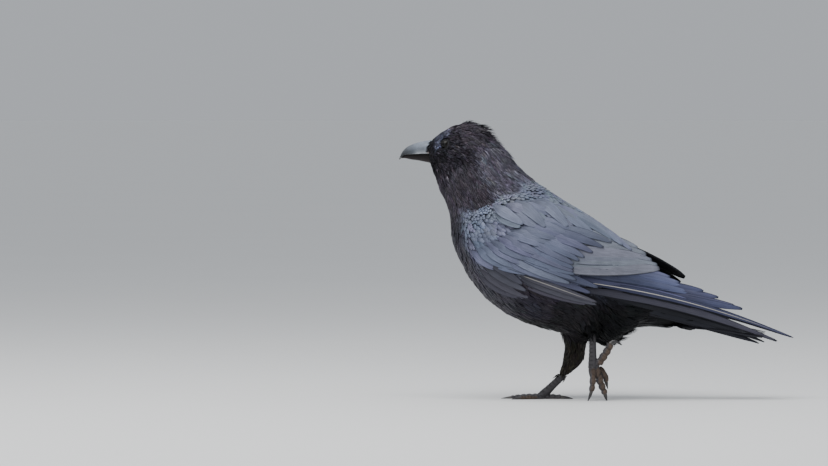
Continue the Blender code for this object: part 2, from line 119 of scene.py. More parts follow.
# ------------------------------------------------------------------ the lie of the coat
# name, piece, zone, place in mm, lie, length, width, depth of coat (mm), head turn, pointed, ruffle
GUIDES = [
    ("forehead", "face", "face", (-177, 0, 291), (0.8, 0, 0.6), 5.5, 1.5, 1.6, 1, 0.8, 0.15),
    ("fore_crown", "face", "crown", (-163, 0, 300), (0.92, 0, 0.4), 7.5, 1.8, 2.2, 1, 1, 0.4),
    ("crown", "crown", "crown", (-146, 0, 304), (1, 0, 0.25), 10.5, 2.0, 3.6, 1, 1, 0.85),
    ("hind_crown", "crown", "crown", (-130, 0, 300), (0.9, 0, -0.25), 13, 2.2, 4.8, 1, 1, 1),
    ("lores", "face", "face", (-181, 9, 274), (1, 0.3, -0.05), 5.0, 1.2, 1.6, 1, 0.7, 0.05),
    ("brow", "face", "brow", (-174, 13, 289), (1, 0.1, 0.12), 4.4, 1.5, 1.4, 1, 0.6, 0.2),
    ("eye_front", "face", "brow", (-174, 14, 281), (1, 0.4, 0.1), 3.6, 1.2, 0.9, 1, 0.6, 0.15),
    ("eye_back", "face", "cheek", (-152, 20, 284), (1, 0.1, -0.15), 5.5, 1.5, 1.4, 1, 0.9, 0.1),
    ("under_eye", "face", "face", (-168, 18, 271), (1, 0.25, -0.25), 5, 1.5, 1.4, 1, 0.8, 0.05),
    ("ear", "face", "cheek", (-150, 23, 272), (0.95, 0.15, -0.35), 8.5, 1.9, 2.2, 1, 0.9, 0.15),
    ("cheek", "face", "cheek", (-160, 21, 260), (0.8, 0.1, -0.6), 9, 2.0, 2.2, 1, 0.9, 0.2),
    ("chin", "face", "face", (-184, 0, 256), (0.55, 0, -0.85), 8, 1.7, 2.2, 1, 0.9, 0.2),
    ("gape", "face", "face", (-180, 9, 262), (0.8, 0.3, -0.5), 6.5, 1.5, 2.2, 1, 0.8, 0.1),
    ("crown_side", "crown", "crown", (-140, 18, 292), (0.95, 0.1, -0.25), 10.5, 2.1, 2.8, 1, 1, 0.4),
    ("throat", "neck", "head", (-174, 0, 238), (0.2, 0, -0.98), 19, 2.1, 3.4, 0.6, 1, 0.25),
    ("low_throat", "neck", "head", (-166, 0, 214), (0.18, 0, -0.98), 20, 2.4, 4.0, 0.1, 1, 0.25),
    ("neck_side_high", "neck", "head", (-150, 26, 248), (0.50, 0.05, -0.86), 18, 2.0, 3.0, 0.6, 1, 0.25),
    ("neck_side_low", "neck", "head", (-132, 33, 226), (0.52, 0.15, -0.85), 18, 2.2, 3.6, 0.1, 1, 0.25),
    ("nape", "neck", "nape", (-110, 0, 283), (0.70, 0, -0.71), 18, 2.2, 4.6, 0.7, 1, 0.7),
    ("nape_side", "neck", "nape", (-112, 22, 268), (0.62, 0.1, -0.78), 18, 2.1, 3.4, 0.6, 1, 0.3),
    ("low_nape", "neck", "nape", (-88, 0, 257), (0.76, 0, -0.65), 17, 2.7, 4.2, 0.15, 1, 0.35),
    ("neck_root", "neck", "nape", (-106, 31, 236), (0.66, 0.1, -0.74), 16, 2.6, 3.8, 0, 1, 0.25),
    ("nape_border_top", "mantle", "mantle", (-64, 0, 238), (0.78, 0, -0.62), 8, 4.6, 3.6, 0, 0.2, 0.6),
    ("nape_border", "mantle", "mantle", (-78, 22, 231), (0.78, 0.1, -0.62), 8, 4.4, 3.6, 0, 0.2, 0.6),
    ("neck_border", "mantle", "mantle", (-104, 35, 223), (0.75, 0.15, -0.62), 6.5, 4.2, 3.6, 0, 0.1, 0.5),
    ("breast_border_back", "mantle", "mantle", (-126, 38, 209), (0.7, 0.2, -0.7), 6, 4.2, 3.4, 0, 0.1, 0.5),
    ("breast_border", "mantle", "mantle", (-143, 36, 200), (0.6, 0.25, -0.75), 6, 4.2, 3.2, 0, 0.1, 0.5),
    ("upper_breast", "breast", "flank", (-160, 0, 188), (0.06, 0, -1), 16, 4.2, 4.0, 0, 0.7, 0.25),
    ("breast_front", "breast", "flank", (-158, 22, 192), (0.2, 0.1, -0.97), 14, 3.6, 3.8, 0, 0.8, 0.25),
    ("breast_side", "breast", "flank", (-152, 27, 166), (0.35, 0.2, -0.9), 17, 5.0, 3.8, 0, 0.6, 0.2),
    ("breast", "breast", "flank", (-151, 0, 158), (0.35, 0, -0.93), 20, 5.4, 4.4, 0, 0.6, 0.15),
    ("lower_breast", "breast", "flank", (-126, 0, 118), (0.68, 0, -0.73), 22, 6.0, 4.4, 0, 0.6, 0.15),
    ("breast_low_side", "breast", "flank", (-122, 36, 128), (0.68, 0.05, -0.73), 20, 5.6, 4.2, 0, 0.6, 0.15),
    ("belly", "belly", "belly", (-85, 0, 88), (0.9, 0, -0.4), 24, 6, 4.4, 0, 0.6, 0.2),
    ("hind_belly", "belly", "belly", (-45, 0, 75), (1, 0, -0.12), 24, 5.4, 4.4, 0, 0.7, 0.3),
    ("flank", "belly", "flank", (-92, 44, 116), (0.85, 0.05, -0.5), 25, 6.0, 4.0, 0, 0.5, 0.12),
    ("hind_flank", "belly", "belly", (-40, 42, 98), (0.9, 0, -0.4), 20, 5.6, 4.0, 0, 0.5, 0.2),
    ("vent", "vent", "vent", (8, 0, 62), (0.45, 0, -0.89), 22, 2.8, 4.8, 0, 1, 0.9),
    ("vent_side", "vent", "vent", (8, 24, 80), (0.7, 0, -0.7), 18, 3.4, 4.4, 0, 0.9, 0.6),
    ("under_tail", "vent", "vent", (52, 0, 80), (1, 0, 0.03), 31, 8, 3.0, 0, 0.2, 0.05),
    ("under_tail_side", "vent", "vent", (46, 18, 92), (1, 0, -0.05), 30, 8, 3.0, 0, 0.2, 0.05),
    ("rump", "mantle", "wing", (50, 0, 155), (0.8, 0, -0.6), 22, 7.5, 3.4, 0, 0.2, 0.1),
    ("over_tail", "vent", "quill", (88, 0, 112), (0.85, 0, -0.5), 26, 7.5, 2.6, 0, 0.2, 0.05),
    ("mantle_top", "mantle", "mantle", (-52, 0, 232), (0.78, 0, -0.62), 14, 7.5, 3.4, 0, 0.15, 0.3),
    ("mantle", "mantle", "mantle", (-36, 10, 219), (0.82, 0, -0.57), 17, 8, 3.4, 0, 0.05, 0.3),
    ("low_mantle", "mantle", "mantle", (-6, 8, 200), (0.85, 0, -0.52), 20, 9, 3.2, 0, 0, 0.15),
    ("scapular_front", "mantle", "mantle", (-98, 38, 214), (0.86, 0.08, -0.5), 13, 8, 3.2, 0, 0.2, 0.2),
    ("mantle_side", "mantle", "mantle", (-66, 26, 222), (0.84, 0.05, -0.54), 15, 8.5, 3.2, 0, 0.2, 0.25),
    ("shoulder", "shoulder", "shoulder", (-124, 42, 193), (0.88, 0.1, -0.46), 15, 7.2, 2.8, 0, 0.3, 0.05),
    ("wing_bend", "shoulder", "shoulder", (-139, 42, 176), (0.82, 0.12, -0.56), 14, 6.8, 2.8, 0, 0.3, 0.05),
    ("wing_middle", "shoulder", "shoulder", (-100, 48, 180), (0.9, 0, -0.43), 17, 7.5, 2.8, 0, 0.3, 0.05),
    ("wing_front_low", "shoulder", "flap", (-126, 46, 148), (0.78, 0.1, -0.6), 13, 7, 2.8, 0, 0, 0.1),
    ("wing_back", "shoulder", "wing", (-45, 52, 160), (0.95, 0, -0.3), 16, 8, 2.8, 0, 0, 0.05),
    ("thigh_right_high", "thighs", "thigh", (-21, 20, 66), (-0.05, 0, -1), 11, 3.0, 2.4, 0, 0.8, 0.2),
    ("thigh_right_low", "thighs", "thigh", (-28, 13, 42), (-0.35, 0, -0.93), 7.5, 2.0, 1.5, 0, 0.9, 0.1),
    ("thigh_left", "thighs", "vent", (-8, -27, 82), (0.25, 0, -0.96), 13, 2.4, 1.6, 0, 1, 0.1),
]
ONE_SIDED = ("thigh_right_high", "thigh_right_low", "thigh_left")
GUIDE_REACH = 5 * MM            # within which a guide hardly gains by being nearer still
COAT_PIECES = ("face", "crown", "neck", "mantle", "shoulder", "breast", "belly", "vent", "thighs")
SLOT_OF = {"shoulder": "wing_plumage"}
KIND_OF = {"mantle": "feather_gloss", "shoulder": "feather_gloss", "vent": "feather_matt",
           "thighs": "feather_matt", "face": "feather_matt", "belly": "feather_matt"}


class Lie:
    """The guides spread over the body: the nearer a guide, the more it counts."""

    def __init__(self):
        places, lies, numbers, pieces, zones = [], [], [], [], []
        for name, piece, zone, place, lie, length, width, depth, share, pointed, ruffle in GUIDES:
            flips = (1,) if name in ONE_SIDED or place[1] == 0 else (1, -1)
            for flip in flips:
                x, y, z = place
                a, b, c = lie
                places.append(turned(spot(x, y * flip, z), share))
                lies.append(turned(spot(*TURN_AXIS) + unit((a, b * flip, c)), share) - spot(*TURN_AXIS))
                numbers.append((*(np.array((length, width, depth)) * MM * GROWTH), pointed, ruffle))
                pieces.append(COAT_PIECES.index(piece))
                zones.append(zone)
        self.places, self.lies = np.array(places), np.array(lies)
        self.numbers, self.pieces, self.zones = np.array(numbers), np.array(pieces), zones

    def shares(self, points, sharp):
        """Weight of every guide at every point; a higher power keeps the regions crisper."""
        gaps = ((points[:, None, :] - self.places[None]) ** 2).sum(-1) + GUIDE_REACH ** 2
        weights = (gaps / gaps.min(1, keepdims=True)) ** -sharp
        return weights / weights.sum(1, keepdims=True)

    def heading(self, points):
        return unit(self.shares(points, 2.0) @ self.lies)

    def sizes(self, points):
        """Length, width, coat depth, pointedness and ruffle of the feathers at each point."""
        return (self.shares(points, 2.5) @ self.numbers).T

    def piece(self, points):
        return self.pieces[self.shares(points, 2.0).argmax(1)]

    def colour(self, points):
        """The plumage colour at each point, shared by skin and coat."""
        settings = bpy.context.scene.crow_plumage
        zone_colours = np.array([tuple(getattr(settings, zone)) for zone in self.zones])
        return self.shares(points, 3.5) @ zone_colours


LIE = Lie()


# ------------------------------------------------------------------ small modelling helpers
def select_only(obj):
    """Make one object the only selected and active one."""
    if bpy.context.object and bpy.context.object.mode != 'OBJECT':
        bpy.ops.object.mode_set(mode='OBJECT')
    bpy.ops.object.select_all(action='DESELECT')
    bpy.context.view_layer.objects.active = obj
    obj.select_set(True)


def join(objects, name):
    """Several objects as one mesh."""
    select_only(objects[0])
    for obj in objects:
        obj.select_set(True)
    bpy.ops.object.join()
    objects[0].name = objects[0].data.name = name
    return objects[0]


def modify(obj, kind, **settings):
    """Add one modifier and apply it."""
    modifier = obj.modifiers.new(kind.title(), kind)
    for key, value in settings.items():
        setattr(modifier, key, value)
    select_only(obj)
    bpy.ops.object.modifier_apply(modifier=modifier.name)
    return obj


def edit_whole(obj, tool, **settings):
    """Run one edit-mode tool on all of an object."""
    select_only(obj)
    bpy.ops.object.mode_set(mode='EDIT')
    bpy.ops.mesh.select_all(action='SELECT')
    tool(**settings)
    bpy.ops.object.mode_set(mode='OBJECT')


def linked_object(name, mesh):
    """A new object in the scene for a mesh."""
    obj = bpy.data.objects.new(name, mesh)
    bpy.context.scene.collection.objects.link(obj)
    return obj


def copy_of(node):
    """A loose copy of a CAD node with its doubles merged and no material."""
    obj = linked_object("copy_" + node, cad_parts[node].data.copy())
    obj.data.materials.clear()
    edit_whole(obj, bpy.ops.mesh.remove_doubles, threshold=1e-6)
    return obj


def fused(nodes, name, voxel, grow=0.0, rounds=0, more=()):
    """Copies of CAD nodes, and any more solids, melted into one closed surface."""
    obj = join([copy_of(node) for node in nodes] + list(more), name)
    if grow:
        modify(obj, 'DISPLACE', strength=grow, mid_level=0.0)
    modify(obj, 'REMESH', mode='VOXEL', voxel_size=voxel)
    if rounds:
        modify(obj, 'SMOOTH', factor=0.5, iterations=rounds)
    return obj


def points_of(obj):
    """The places of an object's vertices."""
    points = np.empty(len(obj.data.vertices) * 3, np.float32)
    obj.data.vertices.foreach_get("co", points)
    return points.reshape(-1, 3).astype(float)


def set_points(obj, points):
    obj.data.vertices.foreach_set("co", np.asarray(points, np.float32).ravel())
    obj.data.update()


def normals_of(obj):
    normals = np.empty(len(obj.data.vertices) * 3, np.float32)
    obj.data.vertex_normals.foreach_get("vector", normals)
    return normals.reshape(-1, 3).astype(float)


def tree_of(objects):
    """One search tree over several objects' meshes."""
    points, faces = [], []
    for obj in objects:
        base = len(points)
        points += [v.co.copy() for v in obj.data.vertices]
        faces += [[base + i for i in face.vertices] for face in obj.data.polygons]
    return BVHTree.FromPolygons(points, faces)


def mesh_object(name, points, faces):
    """A new object from plain points and faces."""
    mesh = bpy.data.meshes.new(name)
    mesh.from_pydata([tuple(p) for p in points], [], [tuple(f) for f in faces])
    mesh.update()
    return linked_object(name, mesh)


def paint(obj, name, values):
    """Store one colour for each vertex."""
    values = np.asarray(values, np.float32)
    if values.shape[1] == 3:
        values = np.concatenate((values, np.ones((len(values), 1), np.float32)), 1)
    layer = obj.data.attributes.new(name, 'FLOAT_COLOR', 'POINT')
    layer.data.foreach_set("color", values.ravel())


def store(obj, name, values):
    """Store one number for each vertex."""
    layer = obj.data.attributes.new(name, 'FLOAT', 'POINT')
    layer.data.foreach_set("value", np.asarray(values, np.float32))


def finish_piece(obj, slot, material, *nodes):
    """Give a finished piece its material, its body and the nodes that it stands for; its slot is not used.
    """
    obj.data.materials.clear()
    obj.data.materials.append(material)
    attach(obj, "root")
    if nodes:
        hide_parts(*nodes)
    return obj


# ------------------------------------------------------------------ node helpers
class Graph:
    """Adds nodes to one tree and links them."""

    def __init__(self, tree):
        self.tree = tree

    def node(self, kind, *inputs, **settings):
        node = self.tree.nodes.new(kind)
        for key, value in settings.items():
            setattr(node, key, value)
        for i, value in enumerate(inputs):
            self.feed(node.inputs[i], value)
        return node

    def feed(self, socket, value):
        if value is None:
            return
        if isinstance(value, bpy.types.NodeSocket):
            self.tree.links.new(value, socket)
        else:
            socket.default_value = value

    def math(self, operation, *inputs):
        return self.node("ShaderNodeMath", *inputs, operation=operation).outputs[0]

    def ramp(self, value, low, high, out_low=0.0, out_high=1.0):
        node = self.node("ShaderNodeMapRange", value, low, high, out_low, out_high,
                         interpolation_type='SMOOTHSTEP')
        return node.outputs[0]

    def mix(self, share, a, b, blend='MIX'):
        node = self.node("ShaderNodeMix", data_type='RGBA', blend_type=blend)
        for key, value in ((0, share), (6, a), (7, b)):
            self.feed(node.inputs[key], value)
        return node.outputs[2]

    def noise(self, vector, scale, detail=3.0, rough=0.55):
        node = self.node("ShaderNodeTexNoise")
        for key, value in (("Vector", vector), ("Scale", scale), ("Detail", detail), ("Roughness", rough)):
            self.feed(node.inputs[key], value)
        return node.outputs[0]

    def attribute(self, name):
        return self.node("ShaderNodeAttribute", attribute_name=name, attribute_type='GEOMETRY')

    def place(self):
        return self.node("ShaderNodeTexCoord").outputs["Object"]

    def shaded(self, colour, light):
        """A colour made lighter or darker by a number."""
        shade = self.node("ShaderNodeCombineColor", light, light, light).outputs[0]
        return self.mix(1.0, colour, shade, 'MULTIPLY')


def grey(value):
    return (value, value, value, 1.0)


def opaque(colour):
    """A colour with full alpha, as a colour socket takes it."""
    return tuple(colour) + (1.0,)


def new_group(name, ins, outs):
    """A shader node group with named sockets; returns its graph, inputs and output node."""
    tree = bpy.data.node_groups.new(name, 'ShaderNodeTree')
    for label, kind, value in ins:
        socket = tree.interface.new_socket(label, in_out='INPUT', socket_type=kind)
        if value is not None:
            socket.default_value = value
    for label, kind in outs:
        tree.interface.new_socket(label, in_out='OUTPUT', socket_type=kind)
    graph = Graph(tree)
    start = graph.node("NodeGroupInput")
    end = graph.node("NodeGroupOutput")
    return graph, {label: start.outputs[label] for label, _, _ in ins}, end


def group(name):
    """The named group, built the first time that it is asked for."""
    return bpy.data.node_groups.get(name) or GROUPS[name](name)


def place_group(graph, name, **values):
    """A node for a shared group, with its inputs fed by name."""
    node = graph.node("ShaderNodeGroup")
    node.node_tree = group(name)
    for label, value in values.items():
        graph.feed(node.inputs[label.replace("_", " ")], value)
    return node


def barb_group(name):
    """Barbs, shaft, a pale rim painted as a highlight, and painted shade along the edges and over the
    covered root of a feather vane, from its own map: x across, y along.
    """
    g, ins, end = new_group(name, [
        ("Vane", 'NodeSocketVector', None), ("Marking", 'NodeSocketColor', grey(0.05)),
        ("Pale shaft", 'NodeSocketFloat', 0.0), ("Barbs", 'NodeSocketFloat', 60.0),
        ("Rim", 'NodeSocketFloat', 0.4), ("Cover", 'NodeSocketFloat', 0.5),
        ("Edge", 'NodeSocketFloat', 0.35)],
        [("Color", 'NodeSocketColor'), ("Roughness", 'NodeSocketFloat'), ("Height", 'NodeSocketFloat'),
         ("Open", 'NodeSocketFloat')])
    split = g.node("ShaderNodeSeparateXYZ", ins["Vane"])
    across, along = split.outputs[0], split.outputs[1]
    out = g.math('ABSOLUTE', g.math('SUBTRACT', g.math('MULTIPLY', across, 2.0), 1.0))
    object_place = g.place()
    wander = g.noise(object_place, 260.0, 2.0)
    turns = g.math('MULTIPLY_ADD', out, -0.16, along)
    phase = g.math('MULTIPLY', turns, ins["Barbs"])
    phase = g.math('MULTIPLY_ADD', wander, 2.2, phase)
    barbs = g.math('SINE', g.math('MULTIPLY', phase, 2 * math.pi))
    cloud = g.noise(object_place, 55.0, 4.0)
    # painted highlight: the vane's outer sides and tip painted paler, as where a lapping edge catches the
    # light
    side_rim = g.ramp(out, 0.60, 0.88)
    tip_rim = g.ramp(along, 0.80, 0.97)
    rim = g.math('MULTIPLY', g.math('MAXIMUM', side_rim, tip_rim), ins["Rim"])
    # painted shadow: a dark line along the vane's sides and tip, for the shade in the slit where feathers
    # lap
    low = g.math('MULTIPLY_ADD', ins["Edge"], -0.26, 0.96)
    edge = g.math('MAXIMUM', g.ramp(out, low, g.math('ADD', low, 0.12)), g.ramp(along, 0.975, 1.0))
    shaft = g.math('MULTIPLY', g.ramp(out, 0.16, 0.05), g.ramp(along, 1.0, 0.7))
    light = g.math('MULTIPLY_ADD', barbs, 0.09, 0.80)
    light = g.math('MULTIPLY_ADD', cloud, 0.30, light)
    light = g.math('ADD', light, rim)
    # painted shade over the root part that the neighbours cover, lifting where the vane leaves their cover;
    # the same factor lowers specular and sheen
    bare_share = g.ramp(along, g.math('SUBTRACT', ins["Cover"], 0.08), g.math('ADD', ins["Cover"], 0.2))
    painted_shade_factor = g.math('MULTIPLY', g.math('MULTIPLY_ADD', bare_share, 0.38, 0.62),
                     g.math('SUBTRACT', 1.0, g.math('MULTIPLY', edge, ins["Edge"])))
    light = g.math('MULTIPLY', light, painted_shade_factor)
    g.feed(end.inputs["Open"], painted_shade_factor)
    slow = g.math('MULTIPLY', g.noise(object_place, 14.0, 1.0), 9.0)
    stretched = g.node("ShaderNodeCombineXYZ", g.math('MULTIPLY', turns, 1.6),
                       g.math('MULTIPLY', out, 4.0), slow).outputs[0]
    strands = g.ramp(g.noise(stretched, 2.2, 4.0, 0.6), 0.3, 0.7, 0.80, 1.20)
    light = g.math('MULTIPLY', light, strands)
    vane = g.shaded(ins["Marking"], light)
    g.feed(end.inputs["Color"], g.mix(g.math('MULTIPLY', shaft, ins["Pale shaft"]), vane, PALE_SHAFT))
    g.feed(end.inputs["Roughness"], g.math('MULTIPLY_ADD', cloud, 0.22, 0.30))
    height = g.math('MULTIPLY_ADD', barbs, 0.25, g.math('MULTIPLY', shaft, 1.2))
    g.feed(end.inputs["Height"], height)
    return g.tree


def horn_group(name):
    """Growth lines, fine scratches and clouding of horn."""
    g, ins, end = new_group(name, [
        ("Color", 'NodeSocketColor', grey(0.05)), ("Along", 'NodeSocketFloat', 0.0),
        ("Lines", 'NodeSocketFloat', 40.0), ("Fine", 'NodeSocketFloat', 900.0)],
        [("Color", 'NodeSocketColor'), ("Roughness", 'NodeSocketFloat'), ("Height", 'NodeSocketFloat')])
    place = g.place()
    cloud = g.noise(place, g.math('MULTIPLY', ins["Fine"], 0.18), 5.0, 0.6)
    grain = g.noise(place, ins["Fine"], 3.0, 0.6)
    wave = g.math('MULTIPLY', g.math('MULTIPLY_ADD', cloud, 0.12, ins["Along"]), ins["Lines"])
    wave = g.math('SINE', g.math('MULTIPLY', wave, 2 * math.pi))
    light = g.math('MULTIPLY_ADD', cloud, 0.9, 0.55)
    light = g.math('MULTIPLY_ADD', wave, 0.05, light)
    g.feed(end.inputs["Color"], g.shaded(ins["Color"], light))
    g.feed(end.inputs["Roughness"], g.math('MULTIPLY_ADD', grain, 0.22, 0.22))
    g.feed(end.inputs["Height"], g.math('MULTIPLY_ADD', wave, 0.25, g.math('MULTIPLY', grain, 0.6)))
    return g.tree


GROUPS = {"vane_barbs": barb_group, "horn_growth": horn_group}
PALE_SHAFT = (0.42, 0.40, 0.36, 1.0)


def new_material(name):
    """A material with its Principled shader, ready for more nodes."""
    material = bpy.data.materials.new(name)
    material.use_nodes = True
    graph = Graph(material.node_tree)
    return material, graph, material.node_tree.nodes["Principled BSDF"]


def bump(graph, shader, height, distance, strength=0.6):
    """Turn a height into the shader's own normal."""
    node = graph.node("ShaderNodeBump")
    node.inputs["Strength"].default_value = strength
    node.inputs["Distance"].default_value = distance
    graph.feed(node.inputs["Height"], height)
    graph.feed(shader.inputs["Normal"], node.outputs[0])


# barbs along a vane, pale rim (a painted highlight), share where it leaves the painted shade of its
# neighbours' cover, dark edge (a painted shadow line), sheen and specular
FEATHER_KINDS = {
    "feather_gloss": (26.0, 0.20, 0.60, 0.40, 0.25, 0.5),
    "feather_soft": (14.0, 0.15, 0.35, 0.35, 0.04, 0.28),
    "feather_matt": (14.0, 0.10, 0.35, 0.25, 0.0, 0.10),
    "feather_quill": (190.0, 0.14, 0.22, 0.60, 0.16, 0.36),
    "feather_scapular": (120.0, 0.18, 0.22, 0.38, 0.20, 0.42),
    "feather_shadow": (75.0, 0.14, 0.10, 0.40, 0.02, 0.25),
}


def feather_material(name):
    """One kind of feather; its colours come from the vane's own markings."""
    found = bpy.data.materials.get(name)
    if found:
        return found
    barbs, rim, cover, edge, sheen, specular = FEATHER_KINDS[name]
    material, g, shader = new_material(name)
    marking = g.attribute("marking")
    vane = g.node("ShaderNodeUVMap", uv_map="Vane").outputs[0]
    detail = place_group(g, "vane_barbs", Vane=vane, Marking=marking.outputs["Color"],
                         Pale_shaft=marking.outputs["Alpha"], Barbs=barbs, Rim=rim, Cover=cover, Edge=edge)
    g.feed(shader.inputs["Base Color"], detail.outputs["Color"])
    g.feed(shader.inputs["Roughness"], detail.outputs["Roughness"])
    g.feed(shader.inputs["Specular IOR Level"], g.math('MULTIPLY', detail.outputs["Open"], specular))
    shader.inputs["Specular Tint"].default_value = (0.80, 0.84, 1.0, 1.0)
    g.feed(shader.inputs["Sheen Weight"], g.math('MULTIPLY', detail.outputs["Open"], sheen))
    shader.inputs["Sheen Roughness"].default_value = 0.4
    shader.inputs["Sheen Tint"].default_value = (0.72, 0.78, 1.0, 1.0)
    bump(g, shader, detail.outputs["Height"], 0.08 * MM)
    return material


def skin_material():
    """Fine plates and clouding over the coat's markings and the bare colours."""
    material, g, shader = new_material("crow_skin")
    marking = g.attribute("marking").outputs["Color"]
    bare = g.attribute("bare").outputs["Fac"]
    place = g.place()
    plates = g.node("ShaderNodeTexVoronoi", feature='DISTANCE_TO_EDGE')
    g.feed(plates.inputs["Vector"], place)
    plates.inputs["Scale"].default_value = 1100.0
    cloud = g.noise(place, 160.0, 5.0, 0.65)
    groove = g.ramp(plates.outputs["Distance"], 0.0, 0.12)
    light = g.math('MULTIPLY_ADD', cloud, 0.9, 0.5)
    light = g.math('MULTIPLY', light, g.math('MULTIPLY_ADD', groove, 0.35, 0.65))
    g.feed(shader.inputs["Base Color"], g.shaded(marking, light))
    g.feed(shader.inputs["Roughness"], g.math('MULTIPLY_ADD', cloud, 0.3, 0.35))
    shader.inputs["Specular IOR Level"].default_value = 0.25
    height = g.math('MULTIPLY', groove, g.math('MULTIPLY_ADD', bare, 0.9, 0.1))
    bump(g, shader, height, 0.12 * MM)
    return material


def bill_material(name, settings):
    """Slate horn, darker to the tip; a painted highlight toward the base and the culmen, painted shade
    darker below and on the lower half, and a painted highlight along the cutting edge.
    """
    material, g, shader = new_material(name)
    along = g.attribute("along").outputs["Fac"]
    edge = g.attribute("edge").outputs["Fac"]
    # the slate colour toward the base is partly a painted light-blue highlight; darker to the tip
    base = g.mix(g.ramp(along, 0.25, 0.95), opaque(settings.bill), opaque(settings.bill_tip))
    # the lower half darker: partly its own dark grey brown, partly painted shade where it faces down
    base = g.mix(g.attribute("lower").outputs["Fac"], base, opaque(settings.bill_lower))
    # painted sheen and shade by height: lighter toward the culmen, darker toward the mouth line
    side = g.ramp(g.attribute("climb").outputs["Fac"], 0.10, 0.90, 0.42, 1.15)
    base = g.shaded(base, side)
    # painted highlight along the upper half's cutting edge, over its basal half
    pale = g.math('MULTIPLY', edge, g.ramp(along, 0.55, 0.30, 0.0, 0.8))
    base = g.mix(pale, base, opaque(settings.bill_edge_highlight))
    base = g.mix(g.math('MULTIPLY', g.ramp(along, 0.10, 0.0), edge), base, opaque(settings.gape))
    detail = place_group(g, "horn_growth", Color=base, Along=along, Lines=26.0, Fine=1400.0)
    g.feed(shader.inputs["Base Color"], detail.outputs["Color"])
    g.feed(shader.inputs["Roughness"], detail.outputs["Roughness"])
    upper = g.math('SUBTRACT', 1.0, g.attribute("lower").outputs["Fac"])
    g.feed(shader.inputs["Specular IOR Level"], g.math('MULTIPLY_ADD', upper, 0.3, 0.1))
    g.feed(shader.inputs["Coat Weight"], g.math('MULTIPLY', upper, 0.12))
    shader.inputs["Coat Roughness"].default_value = 0.2
    bump(g, shader, detail.outputs["Height"], 0.05 * MM, 0.5)
    return material


def claw_material(name, settings):
    """Black horn with a browner root."""
    material, g, shader = new_material(name)
    along = g.attribute("along").outputs["Fac"]
    base = g.mix(g.ramp(along, 0.5, 0.0), opaque(settings.claw), opaque(settings.claw_root))
    detail = place_group(g, "horn_growth", Color=base, Along=along, Lines=9.0, Fine=2200.0)
    g.feed(shader.inputs["Base Color"], detail.outputs["Color"])
    g.feed(shader.inputs["Roughness"], detail.outputs["Roughness"])
    shader.inputs["Coat Weight"].default_value = 0.3
    shader.inputs["Coat Roughness"].default_value = 0.2
    bump(g, shader, detail.outputs["Height"], 0.04 * MM, 0.5)
    return material


def eye_material(name, settings):
    """Pupil, dark iris and rim, by the angle from the eye's own axis."""
    material, g, shader = new_material(name)
    ring = g.attribute("ring").outputs["Fac"]
    streaks = g.noise(g.place(), 1800.0, 4.0, 0.6)
    iris = g.mix(g.math('MULTIPLY', streaks, 0.7), opaque(settings.iris),
                 opaque(c * 0.35 for c in settings.iris))
    colour = g.mix(g.ramp(ring, 0.40, 0.46), grey(0.002), iris)
    colour = g.mix(g.ramp(ring, 0.74, 0.86), colour, grey(0.012))
    g.feed(shader.inputs["Base Color"], colour)
    g.feed(shader.inputs["Roughness"], g.ramp(streaks, 0.0, 1.0, 0.16, 0.26))
    shader.inputs["Specular IOR Level"].default_value = 0.15
    shader.inputs["Coat Weight"].default_value = 0.16
    shader.inputs["Coat IOR"].default_value = 1.3
    shader.inputs["Coat Roughness"].default_value = 0.03
    return material


BARE_FINISHES = {"bill_horn_slate": bill_material, "claw_horn_black": claw_material,
                 "eye_dark_glossy": eye_material}


def bare_finish(name):
    """The named finish of a bare part, made the first time that it is asked for."""
    return bpy.data.materials.get(name) or BARE_FINISHES[name](name, bpy.context.scene.crow_bare)


# ------------------------------------------------------------------ feather blades
class Blade:
    """Pattern of one closed vane: shares across and along, and its faces."""

    def __init__(self, along, columns, under, ridge=0.0):
        self.along = np.asarray(along, float)
        top = np.linspace(-1, 1, columns)
        if columns > 5:
            top = np.sin(top * math.pi / 2)
        below = np.linspace(1, -1, under + 2)[1:-1]
        self.across = np.concatenate((top, below))
        self.top = np.concatenate((np.ones(columns), np.zeros(under)))
        self.shaft = np.concatenate((np.exp(-(top / 0.11) ** 2) * ridge, np.zeros(under)))
        ring, rows = len(self.across), len(self.along)
        starts = [(r * ring + c, r * ring + (c + 1) % ring) for r in range(rows - 1) for c in range(ring)]
        self.faces = [(a, b, b + ring, a + ring) for a, b in starts]
        self.faces.append(tuple(range(ring))[::-1])
        self.faces.append(tuple(range((rows - 1) * ring, rows * ring)))
        self.ring, self.rows = ring, rows


HAIR = Blade((0, 0.14, 0.34, 0.56, 0.78, 1), 3, 0)
VANE = Blade((0, 0.16, 0.36, 0.57, 0.76, 0.91, 1), 5, 1)
QUILL = Blade(np.linspace(0, 1, 17) ** 0.92, 9, 3, 1.0)


def outline(along, pointed):
    """Half width of a blade at shares along it, from round-ended to pointed."""
    along = np.asarray(along, float)
    swell = np.sin(np.clip(along / 0.45, 0, 1) * math.pi / 2) * 0.78 + 0.22
    rounded = np.sqrt(np.clip(1 - np.clip((along - 0.52) / 0.5, 0, 1) ** 2.4, 0, 1))
    sharp = 1 - np.clip((along - 0.25) / 0.78, 0, 1) ** 1.35
    pointed = np.asarray(pointed, float)[..., None]
    return np.maximum(swell * (rounded * (1 - pointed) + sharp * pointed), 0.035)


